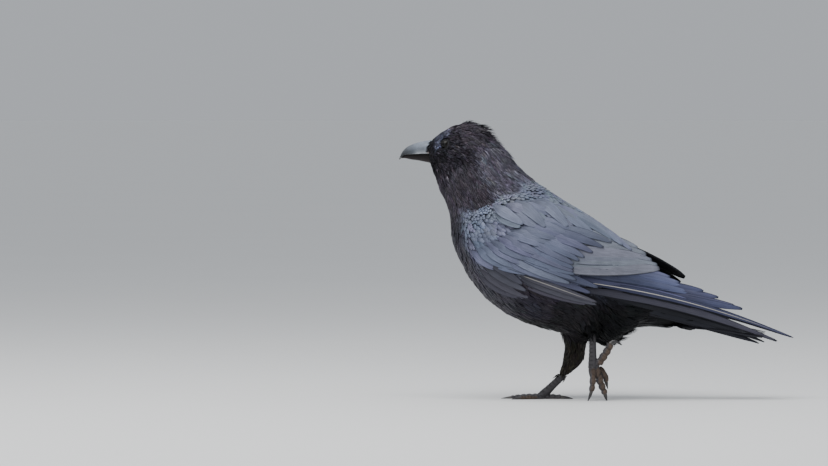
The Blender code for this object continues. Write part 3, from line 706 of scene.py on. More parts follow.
def blades(name, pattern, lines, ups, half_left, half_right, camber, patches, markings, tilt=0.0):
    """One mesh of many closed vanes laid along their centre lines."""
    count, rows, ring = len(lines), pattern.rows, pattern.ring
    ahead = unit(np.gradient(lines, axis=1))
    sides = unit(np.cross(ahead, ups))
    ups = unit(np.cross(sides, ahead))
    across = pattern.across[None, None, :]
    half = np.where(across < 0, half_left[..., None], half_right[..., None])
    widest = np.maximum(half_left, half_right).max(1)[:, None, None]
    thick = np.asarray(camber, float).reshape(-1, 1, 1) * np.ones((count, 1, 1))
    narrow = np.minimum(half / widest, 1)
    arch = (1 - np.abs(across) ** 1.6) * thick * narrow * np.where(pattern.top > 0, 1, -0.35)
    arch = arch + pattern.shaft * np.minimum(0.35 * MM, thick) * np.linspace(1, 0.35, rows)[None, :, None]
    arch = arch + np.asarray(tilt, float).reshape(-1, 1, 1) * across * narrow
    points = (lines[:, :, None, :] + sides[:, :, None, :] * (across * half)[..., None]
              + ups[:, :, None, :] * arch[..., None]).reshape(-1, 3)

    sizes = np.array([len(face) for face in pattern.faces])
    corners = np.concatenate([np.array(face) for face in pattern.faces])
    per_blade = ring * rows
    indices = (corners[None, :] + np.arange(count)[:, None] * per_blade).ravel()
    mesh = bpy.data.meshes.new(name)
    mesh.vertices.add(len(points))
    mesh.vertices.foreach_set("co", points.astype(np.float32).ravel())
    mesh.loops.add(len(indices))
    mesh.loops.foreach_set("vertex_index", indices.astype(np.int32))
    mesh.polygons.add(count * len(sizes))
    totals = np.tile(sizes, count)
    mesh.polygons.foreach_set("loop_start", (np.cumsum(totals) - totals).astype(np.int32))
    mesh.update(calc_edges=True)

    share_across = (np.broadcast_to(pattern.across, (rows, ring)) + 1) / 2
    share_along = np.broadcast_to(pattern.along[:, None], (rows, ring))
    shares = np.stack((share_across, share_along), -1).reshape(-1, 2)[corners]
    vane = mesh.uv_layers.new(name="Vane")
    vane.uv.foreach_set("vector", np.tile(shares, (count, 1)).astype(np.float32).ravel())
    origins, extents = patches
    bake = mesh.uv_layers.new(name="OFBake")
    spots = origins[:, None, :] + (shares[None] - 0.5) * extents
    bake.uv.foreach_set("vector", spots.astype(np.float32).ravel())
    mesh.uv_layers["Vane"].active_render = True

    obj = linked_object(name, mesh)
    if markings.ndim == 2:
        markings = np.repeat(markings[:, None], rows, axis=1)
    paint(obj, "marking", np.repeat(markings.reshape(-1, 4), ring, axis=0))
    obj.data.shade_smooth()
    return obj


def sheet_patches(count):
    """Cells of a plain chart for large blades: their middles and their size."""
    columns = int(math.ceil(math.sqrt(3 * count)))
    rows = int(math.ceil(count / columns))
    cells = np.array([(i % columns + 0.5, i // columns + 0.5) for i in range(count)])
    size = np.array((1 / columns, 1 / rows))
    return cells * size, size * 0.92


# ------------------------------------------------------------------ skin
SKIN_VOXEL = 2.0 * MM
LEG_VOXEL = 0.42 * MM
SLIT_GROWTH = 0.5 * MM          # closes the thin slits between neighbouring nodes
SCUTE_LENGTH = {"tarsus": 4.2 * MM, "toe": 3.0 * MM}
SCUTE_DEPTH = 0.36 * MM
SOLE_OF_LIFTED = (0.8, -0.6, -0.1)   # the way the sole of the lifted left foot looks
PAD_LENGTH = 7.0 * MM           # between the knuckles of a toe
PAD_DEPTH = 1.2 * MM
FLAT_SOLE = 1.2 * MM            # height below which a foot is never swollen
LEG_GROWTH = 0.4 * MM
HUB_RADIUS = 4.4 * MM           # ball that the toes of a foot spread from
TOE_RADIUS = 2.9 * MM
# radius as a share of the eyeball's, thickness in mm, height over width, stand over the eyeball
LID_RINGS = ((0.93, 0.95, 0.88, 1.15), (1.12, 0.8, 0.9, 0.8))
EYE_OUTWARD = (0.06, 1.0, 0.03)      # the way an eye looks in the head's own axes: forward, aside and up


def eye_frame(side):
    """Middle, radius and outward direction of one eye."""
    low, high = (np.array(corner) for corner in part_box("eye_" + side))
    way = np.array(EYE_OUTWARD) * (-1, SIDES[side], 1)
    axis = spot(*TURN_AXIS)
    return (low + high) / 2, float((high - low).max()) / 2, unit(turned(axis + way) - axis)


def foot_joint(side):
    """Where the toes of one foot meet: the low end of its tarsus."""
    points = points_of(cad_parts["tarsus_" + side])
    lowest = points[points[:, 2] < points[:, 2].min() + 3 * MM]
    return lowest.mean(0)


def leg_lead(points):
    """How much nearer the points are to the legs than to the feathered flesh."""
    gaps = []
    for names in (FLESH, LEGS):
        tree = tree_of([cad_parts[name] for name in names])
        gaps.append(np.array([tree.find_nearest(Vector(p))[3] for p in points]))
    return gaps[0] - gaps[1]


def leg_pattern(points, normals):
    """Scutes along the fronts and tops of the legs, and pads between the toe joints, at each point."""
    near = []
    for kind in ("tarsus", "toe"):
        tree = tree_of([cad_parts[name] for name in LEGS if name.startswith(kind)])
        near.append(np.array([tree.find_nearest(Vector(p))[3] for p in points]))
    on_tarsus = near[0] < near[1]
    joints = np.array([foot_joint(side) for side in SIDES])
    sided = (points[:, 1] > (joints[0][1] + joints[1][1]) / 2).astype(int)
    reach = np.linalg.norm(points - joints[sided], axis=1)
    phase = reach / np.where(on_tarsus, SCUTE_LENGTH["tarsus"], SCUTE_LENGTH["toe"]) % 1
    groove = np.abs(2 * phase - 1) ** 3
    front = np.where(on_tarsus, smooth(-0.3, 0.3, -normals[:, 0]), smooth(-0.2, 0.4, normals[:, 2]))
    toes = np.where(on_tarsus, 0, smooth(3 * MM, 6 * MM, reach))
    pads = toes * np.abs(np.sin((reach / PAD_LENGTH - 0.35) * math.pi)) ** 0.7
    return groove * front, pads, toes


def scaled_legs():
    """Tarsi and toes as one surface with real scutes, pads and knuckles."""
    hubs = []
    for side in SIDES:
        joint = foot_joint(side)
        places = [(joint, HUB_RADIUS)]
        for node in LEGS:
            if node.startswith("toe_" + side):
                toe = points_of(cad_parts[node])
                reach = np.linalg.norm(toe - joint, axis=1)
                start = toe[reach < reach.min() + 2.5 * MM].mean(0)
                places += [(joint + (start - joint) * share, HUB_RADIUS + (TOE_RADIUS - HUB_RADIUS) * share)
                           for share in (0.35, 0.7, 1.0)]
        for place, radius in places:
            bpy.ops.mesh.primitive_uv_sphere_add(segments=20, ring_count=12, radius=radius * GROWTH,
                                                 location=tuple(place))
            hubs.append(bpy.context.object)
            bpy.ops.object.transform_apply(location=True, rotation=True, scale=True)
    legs = fused(LEGS, "legs", LEG_VOXEL, LEG_GROWTH, 3, hubs)
    points, normals = points_of(legs), normals_of(legs)
    groove, pads, toes = leg_pattern(points, normals)
    lift = GROWTH * (SCUTE_DEPTH * (0.2 * (groove == 0) - groove) + PAD_DEPTH * (pads - 0.45 * toes))
    low = points[:, 2] < FLAT_SOLE
    lift[low] = np.minimum(lift[low], 0)
    points += normals * lift[:, None]
    points[:, 2] = np.maximum(points[:, 2], 0.0)
    set_points(legs, points)
    return legs


def lid_ring(side, radius, thick, squash, lift):
    """One almond ring round an eye, standing on the eyeball."""
    centre, ball, outward = eye_frame(side)
    bpy.ops.mesh.primitive_torus_add(major_segments=48, minor_segments=12, major_radius=ball * radius,
                                     minor_radius=thick * MM, location=(0, 0, 0))
    ring = bpy.context.object
    points = points_of(ring)
    angle = np.arctan2(points[:, 1], points[:, 0])
    corner = np.abs(np.cos(angle)) ** 6
    points[:, 1] *= squash
    points[:, 0] *= 1 + 0.10 * corner
    points[:, 2] *= 0.75
    height = math.sqrt(max(1 - radius ** 2, 0.05)) * ball * lift
    forward = unit(np.cross((0, 0, 1), outward)) * -SIDES[side]
    upward = unit(np.cross(outward, forward)) * -SIDES[side]
    set_points(ring, centre + forward * points[:, :1] + upward * points[:, 1:2]
               + outward * (points[:, 2:] + height))
    edit_whole(ring, bpy.ops.mesh.normals_make_consistent, inside=False)
    return ring


def unwrap(obj):
    """An unwrap of the skin's own shape, kept as its bake map."""
    edit_whole(obj, bpy.ops.uv.smart_project, angle_limit=1.15, island_margin=0.002)
    obj.data.uv_layers[0].name = "OFBake"


def make_skin():
    """One seamless skin from the bill to the claws, inside the flesh by the coat's depth."""
    parts = FLESH + ("eye_left", "eye_right")
    skin = fused(parts, "skin", SKIN_VOXEL, SLIT_GROWTH, 6)
    points = points_of(skin)
    depth = LIE.sizes(points)[2] + SLIT_GROWTH
    inset = skin.vertex_groups.new(name="coat_depth")
    deepest = float(depth.max())
    for i, share in enumerate(depth / deepest):
        inset.add((i,), float(share), 'REPLACE')
    modify(skin, 'DISPLACE', strength=-deepest, mid_level=0.0, vertex_group="coat_depth")
    modify(skin, 'REMESH', mode='VOXEL', voxel_size=SKIN_VOXEL)
    modify(skin, 'SMOOTH', factor=0.5, iterations=3)
    skin.vertex_groups.clear()
    for piece in [scaled_legs()] + [lid_ring(side, *ring) for side in SIDES for ring in LID_RINGS]:
        before = len(skin.data.vertices)
        modify(skin, 'BOOLEAN', operation='UNION', solver='MANIFOLD', object=piece)
        if len(skin.data.vertices) == before:
            raise RuntimeError("the skin did not take in " + piece.name)
        bpy.data.objects.remove(piece)
    unwrap(skin)
    dress_skin(skin)
    skin.data.shade_smooth()
    return finish_piece(skin, "body_plumage", skin_material(), *FLESH, *LEGS)


def dress_skin(skin):
    """Paint the coat's own markings on the skin, and bare colours on legs and lids."""
    bare_colours = bpy.context.scene.crow_bare
    points = points_of(skin)
    colours = np.concatenate([LIE.colour(part) for part in np.array_split(points, 16)])
    bare = smooth(-0.5 * MM, 0.5 * MM, leg_lead(points))
    normals = normals_of(skin)
    legs = np.flatnonzero(bare > 0)
    groove, pads, toes = leg_pattern(points[legs], normals[legs])
    lifted = points[legs, 1] < 0
    facing = np.where(lifted, normals[legs] @ unit(np.array(SOLE_OF_LIFTED)), -normals[legs, 2] - 0.4)
    sole = smooth(-0.1, 0.6, facing) * toes
    leg = np.array(bare_colours.leg) * (1 - sole[:, None]) + np.array(bare_colours.sole) * sole[:, None]
    # the pads are painted lighter, a painted highlight on the knuckles; the grooves are the scutes' own dark
    # joints
    leg = leg * ((0.80 + 0.30 * pads) * (1 - 0.75 * groove))[:, None]
    colours[legs] = colours[legs] * (1 - bare[legs, None]) + leg * bare[legs, None]
    for side in SIDES:
        centre, ball, _ = eye_frame(side)
        gap = np.linalg.norm(points - centre, axis=1)
        lid = (1 - smooth(ball + 1.2 * MM, ball + 2.4 * MM, gap))[:, None]
        colours = colours * (1 - lid) + np.array(bare_colours.lid) * lid
        bare = np.maximum(bare, lid[:, 0])
    paint(skin, "marking", colours)
    store(skin, "bare", bare)


# ------------------------------------------------------------------ coat
ROOT_PATCH = 0.003              # size of one feather's patch on the skin's unwrap
SPACING = 0.40                  # between roots, as a share of a feather's width
SINK = 0.35 * MM                # how far a root starts below the skin
TROUSER = 9.0 * MM              # how far the thigh's feathers may hang over the tarsus
RUN_OUT = 0.55                  # cosine past which a thigh feather points out of the thigh's end
LEG_REACH = 3 * MM              # how far from a leg a feather's end is looked for
LEG_CLEAR = 1.2 * MM            # what a free feather end keeps from a bare leg
POINTED = 0.75                  # above this a feather is a narrow hackle
LENGTH_SPREAD, WIDTH_SPREAD = 0.12, 0.10
STANDING = 0.75                 # share of the locks that may stand out where the coat is ruffled
STAND_LIFT = 1.6                # how far they do, in depths of the coat
STREAKS = 0.14                  # share of the pointed feathers that catch more light
STREAK_GLOW = 0.6


def skin_triangles(skin):
    """Corners, unwrap corners and areas of the skin's triangles."""
    mesh = skin.data
    mesh.calc_loop_triangles()
    count = len(mesh.loop_triangles)
    corners, loops = np.empty(count * 3, np.int32), np.empty(count * 3, np.int32)
    mesh.loop_triangles.foreach_get("vertices", corners)
    mesh.loop_triangles.foreach_get("loops", loops)
    chart = np.empty(len(mesh.loops) * 2, np.float32)
    mesh.uv_layers["OFBake"].uv.foreach_get("vector", chart)
    places = points_of(skin)[corners.reshape(-1, 3)]
    charts = chart.reshape(-1, 2)[loops.reshape(-1, 3)]
    areas = np.linalg.norm(np.cross(places[:, 1] - places[:, 0], places[:, 2] - places[:, 0]), axis=1) / 2
    return places, charts, areas


def bare_gaps(points):
    """True where no feather may root: on legs, lids and the bill's base."""
    bare = leg_lead(points) > 0
    tree = tree_of([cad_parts[name] for name in ("bill_upper", "bill_lower")])
    bare |= np.array([tree.find_nearest(Vector(p))[3] for p in points]) < 0.5 * MM
    for side in SIDES:
        centre, ball, _ = eye_frame(side)
        bare |= np.linalg.norm(points - centre, axis=1) < ball + 1.5 * MM
    return bare


def thinned(points, gaps):
    """Places of points that keep their own gap from every point kept before them."""
    tree = kdtree.KDTree(len(points))
    for i, point in enumerate(points):
        tree.insert(point, i)
    tree.balance()
    taken = np.zeros(len(points), bool)
    kept = []
    for i in range(len(points)):
        if not taken[i]:
            kept.append(i)
            for _, j, _ in tree.find_range(points[i], gaps[i]):
                taken[j] = True
    return np.array(kept)


def roots_on(skin, rng, density):
    """Evenly scattered roots, closer together where feathers are smaller."""
    places, charts, areas = skin_triangles(skin)
    middles = places.mean(1)
    widths = np.concatenate([LIE.sizes(part)[1] for part in np.array_split(middles, 16)])
    gaps = widths * SPACING / math.sqrt(density)
    wanted = areas / gaps ** 2
    count = int(wanted.sum() * 5)
    picked = rng.choice(len(areas), count, p=wanted / wanted.sum())
    shares = rng.random((count, 2))
    over = shares.sum(1) > 1
    shares[over] = 1 - shares[over]
    mixed = np.concatenate((1 - shares.sum(1, keepdims=True), shares), 1)[:, :, None]
    points = (places[picked] * mixed).sum(1)
    chart = (charts[picked] * mixed).sum(1)
    kept = thinned(points, gaps[picked])
    points, chart = points[kept], chart[kept]
    tree = tree_of([skin])
    outward = np.array([tree.find_nearest(Vector(point))[1] for point in points])
    thigh_low = np.isin(LIE.piece(points), COAT_PIECES.index("thighs"))
    running_out = thigh_low & ((outward * LIE.heading(points)).sum(1) > RUN_OUT)
    kept = ~bare_gaps(points) & ~running_out
    return points[kept], chart[kept]


def locks_of(roots, width, ruffle):
    """The lock that each feather belongs to, and the root at the lock's middle."""
    middles = thinned(roots, width * (1.1 + 0.5 * ruffle))
    tree = kdtree.KDTree(len(middles))
    for i, middle in enumerate(middles):
        tree.insert(roots[middle], i)
    tree.balance()
    lock = np.array([tree.find(root)[1] for root in roots])
    return lock, middles[lock]


def march(tree, starts, along, lengths, heights, turn, heading):
    """Centre lines walked over a surface along the lie, rising from skin to coat height."""
    count, rows = len(starts), len(along)
    lines, ups = np.empty((count, rows, 3)), np.empty((count, rows, 3))
    points, way, up = starts.copy(), None, None
    for k in range(rows):
        places, normals = np.empty((count, 3)), np.empty((count, 3))
        for i, point in enumerate(points):
            place, normal, _, _ = tree.find_nearest(Vector(point))
            places[i], normals[i] = place, normal
        up = normals if up is None else unit(up * 0.5 + normals * 0.5)
        wish = heading(places)
        wish = unit(wish - up * (wish * up).sum(1, keepdims=True))
        sideways = np.cross(up, wish)
        wish = wish * np.cos(turn)[:, None] + sideways * np.sin(turn)[:, None]
        way = wish if way is None else unit(way * 0.35 + wish * 0.65)
        lines[:, k] = places + up * heights[:, k, None]
        ups[:, k] = up
        if k + 1 < rows:
            points = places + way * (lengths * (along[k + 1] - along[k]))[:, None]
    return lines, ups


def clear_of_legs(lines):
    """False for the feathers whose free half would lie across a bare leg, below its feathered top."""
    ends = lines[:, lines.shape[1] // 2:].reshape(-1, 3)
    gaps = np.full(len(ends), LEG_REACH)
    for side in SIDES:
        tree = tree_of([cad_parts[name] for name in LEGS if "_" + side in name])
        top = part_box("thigh_" + side)[0][2] - TROUSER * GROWTH
        for i in np.flatnonzero(ends[:, 2] < top):
            gaps[i] = min(gaps[i], tree.find_nearest(Vector(ends[i]), LEG_REACH)[3] or LEG_REACH)
    return gaps.reshape(len(lines), -1).min(1) > LEG_CLEAR


def grow_coat(skin):
    """Contour feathers over the whole skin, in one mesh for each region."""
    rng = np.random.default_rng(SEED)
    roots, chart = roots_on(skin, rng, bpy.context.scene.crow_plumage.density)
    tree = tree_of([skin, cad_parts["tail"]])
    length, width, depth, pointed, ruffle = LIE.sizes(roots)
    pieces = LIE.piece(roots)
    colours = LIE.colour(roots)
    count = len(roots)
    lock, middle = locks_of(roots, width, ruffle)
    locks = lock.max() + 1
    ups = np.array([tree.find_nearest(Vector(root))[1] for root in roots])
    sideways = unit(np.cross(ups, LIE.heading(roots)))
    aside = ((roots[middle] - roots) * sideways).sum(1)
    length = length * rng.normal(1, LENGTH_SPREAD, count).clip(0.7, 1.35)
    width = width * rng.normal(1, WIDTH_SPREAD, count).clip(0.75, 1.25)
    hackle = smooth(0.55, 0.9, pointed)
    turn = rng.normal(0, 1, count) * (0.04 + 0.10 * ruffle)
    turn += rng.normal(0, 1, locks)[lock] * (0.05 + 0.13 * ruffle)
    turn += np.clip(aside / length * 0.8 * hackle, -0.35, 0.35)
    stands = ((rng.random(locks) < STANDING) * rng.random(locks) ** 0.7)[lock] * smooth(0.35, 1.0, ruffle)
    lift = depth * (rng.random(count) * 0.20 + rng.random(locks)[lock] * 0.28 + stands * STAND_LIFT)
    tiny = pieces == COAT_PIECES.index("face")
    tone = np.exp(rng.normal(0, 1, count) * (0.12 + 0.16 * hackle + 0.15 * tiny)
                  + rng.normal(0, 1, locks)[lock] * (0.08 + 0.07 * hackle + 0.40 * tiny))
    streak = 1 + STREAK_GLOW * (rng.random(count) < STREAKS * pointed)
    colours = colours * (tone * streak)[:, None] * rng.normal(1, 0.05, (locks, 3))[lock]
    for index, piece in enumerate(COAT_PIECES):
        for kind, pattern, mine in (("hackles", HAIR, (pieces == index) & (pointed > POINTED)),
                                    ("feathers", VANE, (pieces == index) & (pointed <= POINTED))):
            if not mine.any():
                continue
            share = pattern.along[None, :]
            rise = 1 - (1 - share) ** 3
            heights = -SINK + (depth[mine, None] + SINK) * rise + lift[mine, None] * share ** 1.5
            lines, ups = march(tree, roots[mine], pattern.along, length[mine], heights, turn[mine],
                               LIE.heading)
            clear = clear_of_legs(lines)
            lines, ups = lines[clear], ups[clear]
            mine[np.flatnonzero(mine)[~clear]] = False
            half = outline(pattern.along, pointed[mine]) * width[mine, None] / 2
            camber = np.clip(width[mine] * 0.15, 0.2 * MM, 0.8 * MM)
            markings = np.concatenate((colours[mine], np.zeros((mine.sum(), 1))), 1)
            obj = blades("%s_%s" % (piece, kind), pattern, lines, ups, half, half, camber,
                         (chart[mine], np.full(2, ROOT_PATCH)), markings)
            material = feather_material(KIND_OF.get(piece, "feather_soft"))
            finish_piece(obj, SLOT_OF.get(piece, "body_plumage"), material)


# ------------------------------------------------------------------ wings and tail
# name, feathers, roots and tips along the row (x, z in mm), half widths, rises over the wing (mm) and bends
# of first and last, pointed, colour, painted sheen on the free ends (a factor on their colour, painted
# darker below one), paleness of the shafts that show
WING_ROWS = [
    ("long_primaries", 5, ((2, 110), (4, 123)), ((168, 65), (180, 63.5), (190, 65), (214, 69)),
     (5.2, 5.4), (-1.4, -0.2), (0.01, 0.035), 0.75, "quill", 1.4, {}),
    ("inner_primaries", 4, ((6, 126), (10, 136)), ((160, 100), (152, 104), (134, 112), (117, 120)),
     (6.2, 5.4), (-1.0, -0.5), (0.0, 0.02), 0.45, "secondary", 1.7, {}),
    ("secondaries", 7, ((-42, 139), (-35, 158)), ((99, 111), (103, 117), (98, 124.5), (88, 131), (68, 138)),
     (4.6, 6.0), (0.2, 0.9), (0.01, 0.03), 0.25, "secondary", 2.3, {}),
    ("outer_primary", 1, ((-40, 135),), ((216, 68.5),), (4.4, 4.4), (1.5, 1.5), (0.042, 0.042), 0.8,
     "secondary", 1.2, {0: 1.0}),
    ("second_primary", 1, ((-46, 126),), ((198, 65),), (5.6, 5.6), (0.2, 0.2), (0.04, 0.04), 0.75,
     "flap", 1.2, {}),
    ("primary_coverts", 4, ((-98, 137), (-98, 143.5)), ((-10, 106), (-3, 107), (-1, 109)),
     (5.4, 4.4), (0.8, 1.8), (-0.02, 0.0), 0.5, "flap", 1.15, {3: 0.55}),
    ("covert_edge", 2, ((-92, 149), (-80, 155)), ((-8, 119), (0, 125)), (4.8, 5.2), (1.0, 1.6), (0, 0), 0.4,
     "wing", 1.1, {}),
    ("alula", 4, ((-137, 150), (-134, 155), (-127, 161)), ((-77, 113), (-76, 114.5), (-78, 120), (-82, 129)),
     (5.5, 6.0), (1.0, 2.4), (-0.12, 0.0), 0.5, "flap", 1.2, {}),
    ("tertials", 6, ((-60, 148), (-50, 160), (-34, 186)),
     ((68, 144), (63, 149), (59, 154), (55, 159.5), (44, 166)),
     (8.5, 7.5), (2.2, 2.8), (0.0, 0.03), 0.12, "tertial", 0.98, {}),
    ("greater_coverts", 14, ((-126, 158), (-92, 176), (-53, 189)),
     ((-66, 140.5), (-42, 134), (-24, 133), (-24, 140), (-30, 148), (-20, 156), (-6, 163), (14, 172)),
     (5.0, 6.2), (2.6, 4.1), (-0.05, 0.04), 0.5, "shoulder", 0.68, {}),
    ("median_coverts", 13, ((-138, 166), (-75, 199)),
     ((-110, 145), (-88, 148), (-70, 156), (-54, 167), (-38, 177), (-26, 185)),
     (5.2, 6.0), (3.0, 4.0), (-0.05, 0.04), 0.5, "shoulder", 0.76, {}),
    ("scapulars", 8, ((-112, 206), (-88, 213), (-60, 214), (-40, 211), (-28, 204)),
     ((-85, 190), (-58, 187), (-27, 184), (2, 178), (22, 171), (36, 163)),
     (7.0, 7.0), (3.5, 4.3), (0.0, 0.03), 0.5, "mantle", 1.0, {}),
    ("upper_scapulars", 7, ((-100, 215), (-75, 219), (-56, 216), (-42, 210)),
     ((-70, 203), (-45, 201), (-18, 193), (8, 184), (26, 173)),
     (6.5, 6.5), (4.0, 4.6), (0.0, 0.03), 0.45, "mantle", 1.0, {}),
    ("front_scapulars", 3, ((-114, 214), (-90, 219), (-68, 220)), ((-82, 193), (-58, 190), (-34, 189)),
     (7.0, 8.5), (4.5, 5.0), (0.0, 0.05), 0.6, "mantle", 0.92, {}),
]
FAR_TERTIALS = ("far_tertials", 3, ((2, 166), (4, 178)), ((86, 123), (93, 128), (98, 134)), (6.5, 7.0),
                (0.4, 1.0), (0.0, 0.015), 0.2, "vent", 1.0, {})
QUILL_ROWS = ("long_primaries", "inner_primaries", "secondaries")   # each stands for its CAD node
KIND_OF_TONE = {"quill": "feather_shadow", "vent": "feather_shadow", "mantle": "feather_scapular"}
RISING = 26.0                   # mm over which a long feather comes up from under the others
QUILL_CAMBER = 0.5 * MM
ROW_TILT = 0.45 * MM            # rise and fall of a vane's two edges, so that a row laps like tiles
RAY_START = 0.5                 # metres outside the model
TAIL_PAIRS = 6
TAIL_ROOT = 12.0 * MM           # half width of the tail's root
TAIL_ROUNDING = 6.0 * MM        # how much shorter the outermost pair is
TAIL_BOW = 3.0 * MM
TAIL_VANE = 7.2 * MM            # half width of one tail feather
NARROW_VANE = 0.85              # the outer vane over the inner one


def draped(tree, points, toward, rounds=6):
    """Points moved along one direction on to a surface, with the kinks smoothed out."""
    toward = Vector(toward)
    axis = int(np.abs(np.array(toward)).argmax())
    points = points.copy()
    ups = np.empty_like(points)
    for i, point in enumerate(points):
        start = Vector(point)
        start[axis] = -toward[axis] * RAY_START
        place, normal, _, _ = tree.ray_cast(start, toward)
        if place is None:
            last = Vector(points[i - 1]) if i else Vector(point)
            guess = Vector(point)
            guess[axis] = last[axis]
            place, normal, _, _ = tree.find_nearest(guess)
            normal = -toward
        points[i, axis] = place[axis]
        ups[i] = normal
    for _ in range(rounds):
        for values in (points[:, axis:axis + 1], ups):
            values[1:-1] = values[:-2] * 0.25 + values[1:-1] * 0.5 + values[2:] * 0.25
    return points, unit(ups)


def row_blade(tree, root, tip, side, bend, offset, along):
    """Centre line of one wing feather in side view, laid on the wing's outer face."""
    root, tip = np.array(root, float), np.array(tip, float)
    across = np.array((-(tip - root)[1], (tip - root)[0]))
    path = root + (tip - root) * along[:, None] + across * (bend * np.sin(along * math.pi))[:, None]
    flat = np.array([spot(x, 0, z) for x, z in path])
    points, ups = draped(tree, flat, (0, -side, 0))
    ups = unit(ups + np.array((0, side * 0.3, 0)))
    return points + ups * offset[:, None], ups


def between(pair, t):
    """The value at a share of the way from the first of a pair to the second."""
    return pair[0] + (pair[1] - pair[0]) * t


def along_row(places, t):
    """The place at a share of the way along a row's guide places."""
    places = np.array(places, float)
    at = t * (len(places) - 1)
    return np.array([np.interp(at, range(len(places)), places[:, k]) for k in (0, 1)])


def make_row(name, side, row, tree, rng):
    """One row of overlapping vanes on a folded wing."""
    settings = bpy.context.scene.crow_plumage
    label, count, roots, tips, halves, rises, bends, pointed, tone, painted_end_sheen, pale = row
    along = QUILL.along
    lines, ups, widths, marks = [], [], [], []
    for i in range(count):
        t = i / max(count - 1, 1)
        wobble = rng.normal(0, 1, (2, 2)) * ((0.8,), (1.3,)) * (0 < i < count - 1)
        root, tip = along_row(roots, t), along_row(tips, t)
        risen = min(0.35, RISING / np.linalg.norm(tip - root))
        lift = between(rises, t) + np.interp(along, (0, risen, 0.8, 1), (-3.0, 0, 0.1, -0.3))
        line, up = row_blade(tree, root + wobble[0], tip + wobble[1], side,
                             between(bends, t) + rng.normal(0, 0.006), lift * MM * GROWTH, along)
        half = outline(along, np.array([pointed]))[0] * between(halves, t) * MM * GROWTH
        lines.append(line)
        ups.append(up)
        widths.append(half * (1 + rng.normal(0, 0.012, len(along))))
        colour = np.array(getattr(settings, tone)) * rng.lognormal(0, 0.10) * rng.normal(1, 0.025, 3)
        # painted sheen on the free ends: the colour scaled toward the tip, lighter above one and darker
        # below
        ends = 1 + (painted_end_sheen - 1) * smooth(0.5, 1.0, along)
        marks.append(np.column_stack((colour * ends[:, None], np.full(len(along), pale.get(i, 0.0)))))
    node = "wing_%s_%s" % (name, label)
    obj = blades(node + "_vanes", QUILL, np.array(lines), np.array(ups), np.array(widths), np.array(widths),
                 QUILL_CAMBER, sheet_patches(count), np.array(marks), tilt=-side * ROW_TILT)
    material = feather_material(KIND_OF_TONE.get(tone, "feather_quill"))
    if label in QUILL_ROWS:
        finish_piece(obj, "flight_feathers", material, node)
    else:
        finish_piece(obj, "wing_plumage", material)


def make_wing(name, side, rng):
    """Rows of vanes over one folded wing, from the long primaries up to the scapulars."""
    nodes = ["wing_%s_%s" % (name, part) for part in WING_PARTS]
    tree = tree_of([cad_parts[node] for node in nodes + ["trunk"]])
    for row in WING_ROWS + [FAR_TERTIALS] * (name == "right"):
        make_row(name, side, row, tree, rng)


def make_tail(rng):
    """Twelve long vanes: the middle pair on top, the outer ones lower."""
    settings = bpy.context.scene.crow_plumage
    tree = tree_of([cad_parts["tail"]])
    low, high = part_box("tail")
    along = QUILL.along
    lines, ups, left, right, marks = [], [], [], [], []
    for pair in range(TAIL_PAIRS):
        share = (pair + 0.35) / TAIL_PAIRS
        for side in (-1, 1):
            root = np.array((low.x + 4 * MM, side * TAIL_ROOT * share, 0.0))
            tip = np.array((high.x - MM - TAIL_ROUNDING * share ** 2, side * (high.y - 5 * MM) * share, 0.0))
            flat = root + (tip - root) * along[:, None]
            flat[:, 1] += side * TAIL_BOW * share * np.sin(along * math.pi)
            points, up = draped(tree, flat, (0, 0, -1))
            under, _ = draped(tree, flat, (0, 0, 1))
            low_share = pair / (TAIL_PAIRS - 1)
            points = points * (1 - low_share) + under * low_share
            lines.append(points + up * (0.5 - 0.2 * (side > 0)) * MM)
            ups.append(up)
            half = outline(along, np.array([0.2]))[0] * TAIL_VANE
            left.append(half * (NARROW_VANE if side > 0 else 1))
            right.append(half * (1 if side > 0 else NARROW_VANE))
            marks.append((*(np.array(settings.quill) * rng.lognormal(0, 0.1)), 0.0))
    obj = blades("tail_vanes", QUILL, np.array(lines), np.array(ups), np.array(left), np.array(right),
                 QUILL_CAMBER, sheet_patches(2 * TAIL_PAIRS), np.array(marks))
    finish_piece(obj, "flight_feathers", feather_material("feather_shadow"), "tail")


# ------------------------------------------------------------------ bill, eyes and claws
# share of the way to the tip, then heights and half widths as shares of the bill's own box
BILL_ROWS = [
    (0.00, 1.00, 0.43, 0.00, 1.00, 0.88),
    (0.19, 0.97, 0.42, 0.05, 0.93, 0.82),
    (0.40, 0.905, 0.405, 0.11, 0.80, 0.69),
    (0.62, 0.80, 0.39, 0.15, 0.63, 0.52),
    (0.81, 0.64, 0.345, 0.205, 0.44, 0.32),
    (0.93, 0.43, 0.25, 0.21, 0.27, 0.14),
    (1.00, 0.21, 0.14, 0.185, 0.07, 0.04),
]
BILL_ROOT = -0.16               # how far the horn runs back into the face, as a share of its length
BILL_RINGS = 48
BILL_COLUMNS = 28
LOWER_REACH = 0.93              # the lower half's tip, as a share of the upper half's length
LIP = 0.35 * MM                 # how far the upper half's cutting edge stands out
BRISTLES = 260


def eased(rows, t):
    """A smooth curve through table rows, at their own first column."""
    rows = np.asarray(rows, float)
    slopes = np.gradient(rows, rows[:, 0], axis=0)
    i = int(np.clip(np.searchsorted(rows[:, 0], t) - 1, 0, len(rows) - 2))
    gap = rows[i + 1, 0] - rows[i, 0]
    f = (t - rows[i, 0]) / gap
    return ((2 * f ** 3 - 3 * f ** 2 + 1) * rows[i] + (f ** 3 - 2 * f ** 2 + f) * gap * slopes[i]
            + (3 * f ** 2 - 2 * f ** 3) * rows[i + 1] + (f ** 3 - f ** 2) * gap * slopes[i + 1])


def bill_box():
    """Lowest and highest corner of the bill in the head's straight-ahead axes."""
    points = [points_of(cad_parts[name]) for name in ("bill_upper", "bill_lower")]
    straight = turned(np.concatenate(points), -1.0)
    return straight.min(0), straight.max(0)


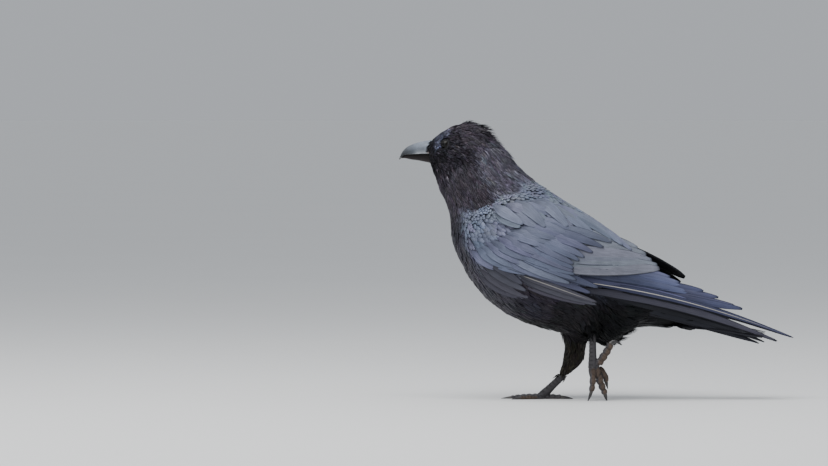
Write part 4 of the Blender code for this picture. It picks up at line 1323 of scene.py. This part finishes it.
def make_bill(upper):
    """One half of the bill, ridged and hooked above, flat where it meets the other half."""
    low, high = bill_box()
    length, height, half = high[0] - low[0], high[2] - low[2], (high[1] - low[1]) / 2
    last = 1.0 if upper else LOWER_REACH
    points, along, edge, climb = [], [], [], []
    for share in np.linspace(BILL_ROOT, last, BILL_RINGS):
        _, culmen, mouth, chin, wide_up, wide_low = eased(BILL_ROWS, max(share, 0.0))
        gap = 0.006 * (1 if upper else -1)
        reach = (culmen - mouth if upper else chin - mouth) - gap
        wide = (wide_up if upper else wide_low * 0.94) * half
        for k in range(BILL_COLUMNS):
            angle = math.pi * k / (BILL_COLUMNS - 1)
            rise = math.sin(angle) ** (0.8 if upper else 0.7)
            side = math.cos(angle)
            pinch = 1 - 0.16 * rise ** 3 if upper else 1
            lip = LIP * (1 - rise) ** 6 * upper
            points.append((high[0] - share * length, (wide * pinch + lip) * side,
                           low[2] + (mouth + gap + reach * rise) * height))
            along.append(max(share, 0.0))
            edge.append((1 - rise) ** 5 * upper)
            climb.append(rise)
    faces = []
    for i in range(BILL_RINGS - 1):
        for k in range(BILL_COLUMNS):
            a, b = i * BILL_COLUMNS + k, i * BILL_COLUMNS + (k + 1) % BILL_COLUMNS
            faces.append((a, b, b + BILL_COLUMNS, a + BILL_COLUMNS))
    faces.append(range(BILL_COLUMNS))
    faces.append(range((BILL_RINGS - 1) * BILL_COLUMNS, BILL_RINGS * BILL_COLUMNS))
    node = "bill_upper" if upper else "bill_lower"
    obj = mesh_object(node + "_horn", turned(np.array(points)), faces)
    edit_whole(obj, bpy.ops.mesh.normals_make_consistent, inside=False)
    lower = np.full(len(points), 0.0 if upper else 1.0)
    for label, values in (("along", along), ("edge", edge), ("climb", climb), ("lower", lower)):
        store(obj, label, values)
    bpy.ops.object.shade_smooth_by_angle(angle=math.radians(50))
    return finish_piece(obj, "bill_horn", bare_finish("bill_horn_slate"), node)


def make_bristles():
    """Stiff bristles lying forward from the forehead over the base of the bill, and at the gape."""
    rng = np.random.default_rng(SEED + 1)
    tree = tree_of([bpy.data.objects["bill_upper_horn"]])
    low, high = bill_box()
    height, half = high[2] - low[2], (high[1] - low[1]) / 2
    count = BRISTLES
    side = rng.choice((-1, 1), count)
    climb = rng.random(count)
    x = high[0] + rng.uniform(-0.8, 2.5, count) * MM
    y = side * half * (0.25 + 0.8 * (1 - climb) ** 0.7)
    z = low[2] + height * (0.50 + 0.46 * climb)
    starts = turned(np.stack((x, y, z), 1))
    way = unit(np.stack((-np.ones(count), side * 0.10, -0.12 - 0.35 * climb), 1))
    axis = spot(*TURN_AXIS)
    way = turned(way + axis) - axis
    lengths = (1.2 + 3.8 * (1 - climb)) * rng.uniform(0.6, 1.0, count) * MM * GROWTH
    heights = (0.15 + 0.5 * rng.random(count)[:, None] * np.ones(HAIR.rows)) * MM
    lines, ups = march(tree, starts, HAIR.along, lengths, heights, rng.normal(0, 0.10, count), lambda p: way)
    half_widths = outline(HAIR.along, np.ones(count)) * rng.uniform(0.16, 0.28, count)[:, None] * MM
    colour = np.array(bpy.context.scene.crow_plumage.face) * rng.lognormal(0, 0.2, count)[:, None]
    markings = np.concatenate((colour, np.zeros((count, 1))), 1)
    obj = blades("nasal_bristles", HAIR, lines, ups, half_widths, half_widths, 0.15 * MM,
                 sheet_patches(count), markings)
    return finish_piece(obj, "body_plumage", feather_material("feather_matt"))


def make_eye(side):
    """A glossy eyeball with a slightly domed front."""
    centre, ball, outward = eye_frame(side)
    bpy.ops.mesh.primitive_uv_sphere_add(segments=64, ring_count=40, radius=ball, location=tuple(centre))
    eye = bpy.context.object
    eye.name = eye.data.name = "eyeball_" + side
    bpy.ops.object.transform_apply(location=True, rotation=True, scale=True)
    points = points_of(eye)
    from_centre = unit(points - centre)
    facing = from_centre @ outward
    dome = smooth(0.72, 1.0, facing)
    points += np.outer(dome * 0.06 * ball, outward)
    set_points(eye, points)
    store(eye, "ring", np.sqrt(np.clip(1 - facing ** 2, 0, 1)) + (facing < 0) * 2)
    eye.data.shade_smooth()
    return finish_piece(eye, "eye", bare_finish("eye_dark_glossy"), "eye_" + side)


def make_claw(node):
    """A smooth horn claw in the shape of its CAD node."""
    claw = fused([node], node + "_horn", 0.22 * MM, 0.0, 4)
    points = points_of(claw)
    joint = foot_joint("left" if "left" in node else "right")
    reach = np.linalg.norm(points - joint, axis=1)
    store(claw, "along", (reach - reach.min()) / np.ptp(reach))
    claw.data.shade_smooth()
    return finish_piece(claw, "claw_horn", bare_finish("claw_horn_black"), node)


# ------------------------------------------------------------------ stage
CAMERA_AIM = (-200.8, 0, 183.2)      # mm on the model as drawn
LIGHT_AIM = (-20, 0, 150)
LIGHTS = (("key_light", (-0.7, -0.9, 2.4), 2.2, "key_power"),       # place and size in metres
          ("fill_light", (-1.6, -2.6, 0.9), 1.8, "fill_power"))


def make_floor(settings):
    """A plain pale floor."""
    bpy.ops.mesh.primitive_plane_add(size=settings.floor_size, location=(0, 0, 0))
    floor = bpy.context.object
    floor.name = floor.data.name = "studio_floor"
    material, g, shader = new_material("studio_floor_paint")
    cloud = g.noise(g.place(), 1.5, 3.0)
    g.feed(shader.inputs["Base Color"], g.mix(cloud, opaque(settings.floor),
                                              opaque(c * 0.97 for c in settings.floor)))
    shader.inputs["Roughness"].default_value = 0.85
    floor.data.materials.append(material)


def looking(place, aim):
    """The turn of a light or a camera that looks from its place to an aim."""
    return (Vector(aim) - Vector(place)).to_track_quat('-Z', 'Y').to_euler()


def make_light(name, place, size, power):
    """One soft square light that looks at the bird."""
    bpy.ops.object.light_add(type='AREA', location=place, rotation=looking(place, spot(*LIGHT_AIM)))
    lamp = bpy.context.object
    lamp.name = lamp.data.name = name
    lamp.data.size = size
    lamp.data.energy = power


def make_camera(settings):
    """A long lens from the bird's left side, a little above its middle."""
    aim = Vector(spot(*CAMERA_AIM))
    rise = settings.camera_elevation
    place = aim + settings.camera_distance * Vector((0, -math.cos(rise), math.sin(rise)))
    bpy.ops.object.camera_add(location=place, rotation=looking(place, aim))
    camera = bpy.context.object
    camera.name = "camera"
    camera.data.lens = settings.camera_lens
    camera.data.sensor_width = 36.0
    camera.data.clip_end = 5000
    bpy.context.scene.camera = camera


def make_world(settings):
    """A soft surround light, weaker at the horizon than overhead."""
    world = bpy.context.scene.world or bpy.data.worlds.new("studio")
    bpy.context.scene.world = world
    world.use_nodes = True
    g = Graph(world.node_tree)
    background = world.node_tree.nodes["Background"]
    height = g.node("ShaderNodeSeparateXYZ", g.node("ShaderNodeTexCoord").outputs["Generated"]).outputs[2]
    light = g.ramp(height, 0.0, 1.0, settings.sky_low, 1.0)
    light.node.interpolation_type = 'LINEAR'
    g.feed(background.inputs["Color"], g.shaded(opaque(settings.sky), light))
    background.inputs["Strength"].default_value = settings.sky_strength


# ------------------------------------------------------------------ settings
def colour_property(name, description, default):
    """A colour that a user may change."""
    return FloatVectorProperty(name=name, description=description, default=default, subtype='COLOR',
                               size=3, min=0.0, max=1.0)


class CrowPlumage(bpy.types.PropertyGroup):
    """Colours and fullness of the feathers."""
    # face: partly the face's own black, partly painted shade beneath the eye and round the lores
    face: colour_property("Face", "Black of the face", (0.010, 0.009, 0.011))
    cheek: colour_property("Cheeks", "Dark violet brown of cheeks and ears", (0.020, 0.017, 0.022))
    # brow: a painted bluish sheen on the feathers before and over the eye, where the brow catches the light
    # from above
    brow: colour_property("Brow", "Bluish gloss before and over the eye", (0.050, 0.052, 0.078))
    crown: colour_property("Crown", "Violet brown of the crown", (0.046, 0.037, 0.047))
    head: colour_property("Head", "Brownish black of head and neck", (0.037, 0.030, 0.038))
    nape: colour_property("Nape", "Greyer black of the nape", (0.096, 0.089, 0.115))
    # mantle, shoulder, tertials and wing coverts: partly the feathers' own dark colour, partly a painted sky
    # reflection that turns the black plumage slate blue-grey
    mantle: colour_property("Mantle", "Slate blue-grey of the back and shoulders", (0.120, 0.136, 0.188))
    shoulder: colour_property("Shoulder", "Violet-blue slate of the wing's bend", (0.114, 0.125, 0.188))
    tertial: colour_property("Tertials", "Pale grey of the inner wing feathers", (0.160, 0.174, 0.212))
    wing: colour_property("Wing", "Violet slate of the wing coverts", (0.057, 0.060, 0.106))
    secondary: colour_property("Secondaries", "Dark violet of the long wing feathers", (0.038, 0.041, 0.077))
    flap: colour_property("Flap", "Brownish grey of the primary coverts", (0.047, 0.044, 0.059))
    # flank and belly: partly the plumage's own near black, partly painted shade that darkens the lower body
    flank: colour_property("Flank", "Dark grey-violet of the breast", (0.022, 0.019, 0.026))
    belly: colour_property("Belly", "Darker brownish black of the belly", (0.012, 0.011, 0.012))
    thigh: colour_property("Thighs", "Brownish black of the thigh", (0.026, 0.023, 0.018))
    # vent: partly its own near black, partly painted shade under the body
    vent: colour_property("Vent", "Near black of the vent and under the tail", (0.006, 0.006, 0.006))
    # quills: partly the flight feathers' own dark colour, partly painted shade where the tail and long
    # primaries lie in shadow below the wing
    quill: colour_property("Quills", "Dark violet grey of the flight feathers", (0.013, 0.013, 0.016))
    density: FloatProperty(name="Density", description="Feathers for each patch of skin", default=1.0,
                           min=0.2, max=1.5)


class CrowBare(bpy.types.PropertyGroup):
    """Colours of the bare parts."""
    # bill: partly the horn's own slate grey, partly a painted highlight that makes the base paler
    bill: colour_property("Bill", "Slate grey of the bill", (0.165, 0.188, 0.228))
    bill_tip: colour_property("Bill tip", "Dark horn of the bill's tip", (0.045, 0.048, 0.053))
    # lower bill: partly its own dark grey brown, partly painted shade on the underside
    bill_lower: colour_property("Lower bill", "Dark grey brown of the lower half", (0.018, 0.014, 0.015))
    # painted highlight of the cutting edges
    bill_edge_highlight: colour_property("Bill edge", "Paler cutting edges", (0.30, 0.31, 0.34))
    gape: colour_property("Gape", "Brownish corner of the mouth", (0.16, 0.11, 0.10))
    iris: colour_property("Iris", "Dark brown iris", (0.006, 0.004, 0.003))
    lid: colour_property("Lids", "Dark grey lids", (0.008, 0.008, 0.010))
    leg: colour_property("Legs", "Scales of tarsi and toes", (0.066, 0.062, 0.068))
    sole: colour_property("Soles", "Browner pads under the toes", (0.085, 0.060, 0.046))
    claw: colour_property("Claws", "Black claw horn", (0.014, 0.013, 0.014))
    claw_root: colour_property("Claw roots", "Browner roots of the claws", (0.050, 0.042, 0.038))


class CrowStage(bpy.types.PropertyGroup):
    """Floor, lights and camera."""
    floor: colour_property("Floor", "Pale studio floor", (0.78, 0.78, 0.77))
    floor_size: FloatProperty(name="Floor size", description="Side of the floor", default=2000.0,
                              unit='LENGTH')
    sky: colour_property("Surround", "Colour of the soft surround light", (0.86, 0.90, 0.96))
    sky_low: FloatProperty(name="Surround at the horizon", description="Share of its strength overhead",
                           default=0.70, subtype='FACTOR')
    sky_strength: FloatProperty(name="Surround strength", description="Strength of the surround",
                                default=0.75)
    key_power: FloatProperty(name="Key power", description="Power of the overhead light", default=75.0)
    fill_power: FloatProperty(name="Fill power", description="Power of the side light", default=14.0)
    camera_distance: FloatProperty(name="Camera distance", description="From the aim point", default=6.0,
                                   unit='LENGTH')
    camera_elevation: FloatProperty(name="Camera elevation", description="Above the level of the aim",
                                    default=math.radians(1.2), subtype='ANGLE')
    camera_lens: FloatProperty(name="Lens", description="Focal length in millimetres", default=237.0)


# ------------------------------------------------------------------ operators
class CROW_OT_skin(bpy.types.Operator):
    """Lay one seamless skin with lids and scaled legs inside the plumage"""
    bl_idname = "crow.skin"
    bl_label = "Skin, Lids and Legs"

    def execute(self, context):
        make_skin()
        return {'FINISHED'}


class CROW_OT_coat(bpy.types.Operator):
    """Grow the contour feathers over the skin, region by region"""
    bl_idname = "crow.coat"
    bl_label = "Contour Feathers"

    def execute(self, context):
        grow_coat(bpy.data.objects["skin"])
        return {'FINISHED'}


class CROW_OT_wings(bpy.types.Operator):
    """Lay the rows of covert and flight feathers on both folded wings"""
    bl_idname = "crow.wings"
    bl_label = "Wing Feathers"

    def execute(self, context):
        for name, side in SIDES.items():
            make_wing(name, side, np.random.default_rng(SEED + 2))
        return {'FINISHED'}


class CROW_OT_tail(bpy.types.Operator):
    """Fan the twelve tail feathers"""
    bl_idname = "crow.tail"
    bl_label = "Tail Feathers"

    def execute(self, context):
        make_tail(np.random.default_rng(SEED + 3))
        return {'FINISHED'}


class CROW_OT_bill(bpy.types.Operator):
    """Shape both halves of the bill and the bristles over its base"""
    bl_idname = "crow.bill"
    bl_label = "Bill and Bristles"

    def execute(self, context):
        make_bill(True)
        make_bill(False)
        make_bristles()
        return {'FINISHED'}


class CROW_OT_eyes(bpy.types.Operator):
    """Set the two eyeballs"""
    bl_idname = "crow.eyes"
    bl_label = "Eyes"

    def execute(self, context):
        for side in SIDES:
            make_eye(side)
        return {'FINISHED'}


class CROW_OT_claws(bpy.types.Operator):
    """Smooth the eight horn claws"""
    bl_idname = "crow.claws"
    bl_label = "Claws"

    def execute(self, context):
        for node in CLAWS:
            make_claw(node)
        return {'FINISHED'}


class CROW_OT_stage(bpy.types.Operator):
    """Set the pale floor, the soft lights and the camera"""
    bl_idname = "crow.stage"
    bl_label = "Stage"

    def execute(self, context):
        settings = context.scene.crow_stage
        make_floor(settings)
        make_world(settings)
        for name, place, size, power in LIGHTS:
            make_light(name, place, size, getattr(settings, power))
        make_camera(settings)
        return {'FINISHED'}


class CROW_PT_panel(bpy.types.Panel):
    """Shows the crow's settings and a button for each step that builds it"""
    bl_idname = "CROW_PT_panel"
    bl_label = "Striding Crow"
    bl_space_type = 'VIEW_3D'
    bl_region_type = 'UI'
    bl_category = "Crow"

    def draw(self, context):
        for settings in (context.scene.crow_plumage, context.scene.crow_bare, context.scene.crow_stage):
            box = self.layout.box()
            for key in settings.bl_rna.properties.keys():
                if key not in ("rna_type", "name"):
                    box.prop(settings, key)
        for operator in OPERATORS:
            self.layout.operator(operator.bl_idname)


OPERATORS = (CROW_OT_skin, CROW_OT_eyes, CROW_OT_bill, CROW_OT_claws, CROW_OT_coat, CROW_OT_wings,
             CROW_OT_tail, CROW_OT_stage)
SETTINGS = {"crow_plumage": CrowPlumage, "crow_bare": CrowBare, "crow_stage": CrowStage}


def register():
    for settings in SETTINGS.values():
        bpy.utils.register_class(settings)
    for name, settings in SETTINGS.items():
        setattr(bpy.types.Scene, name, PointerProperty(type=settings))
    for operator in OPERATORS:
        bpy.utils.register_class(operator)
    bpy.utils.register_class(CROW_PT_panel)


def unregister():
    bpy.utils.unregister_class(CROW_PT_panel)
    for operator in reversed(OPERATORS):
        bpy.utils.unregister_class(operator)
    for name, settings in SETTINGS.items():
        delattr(bpy.types.Scene, name)
        bpy.utils.unregister_class(settings)


def main():
    register()
    for operator in OPERATORS:
        group_name, operator_name = operator.bl_idname.split(".")
        getattr(getattr(bpy.ops, group_name), operator_name)()


if __name__ == "__main__":
    main()
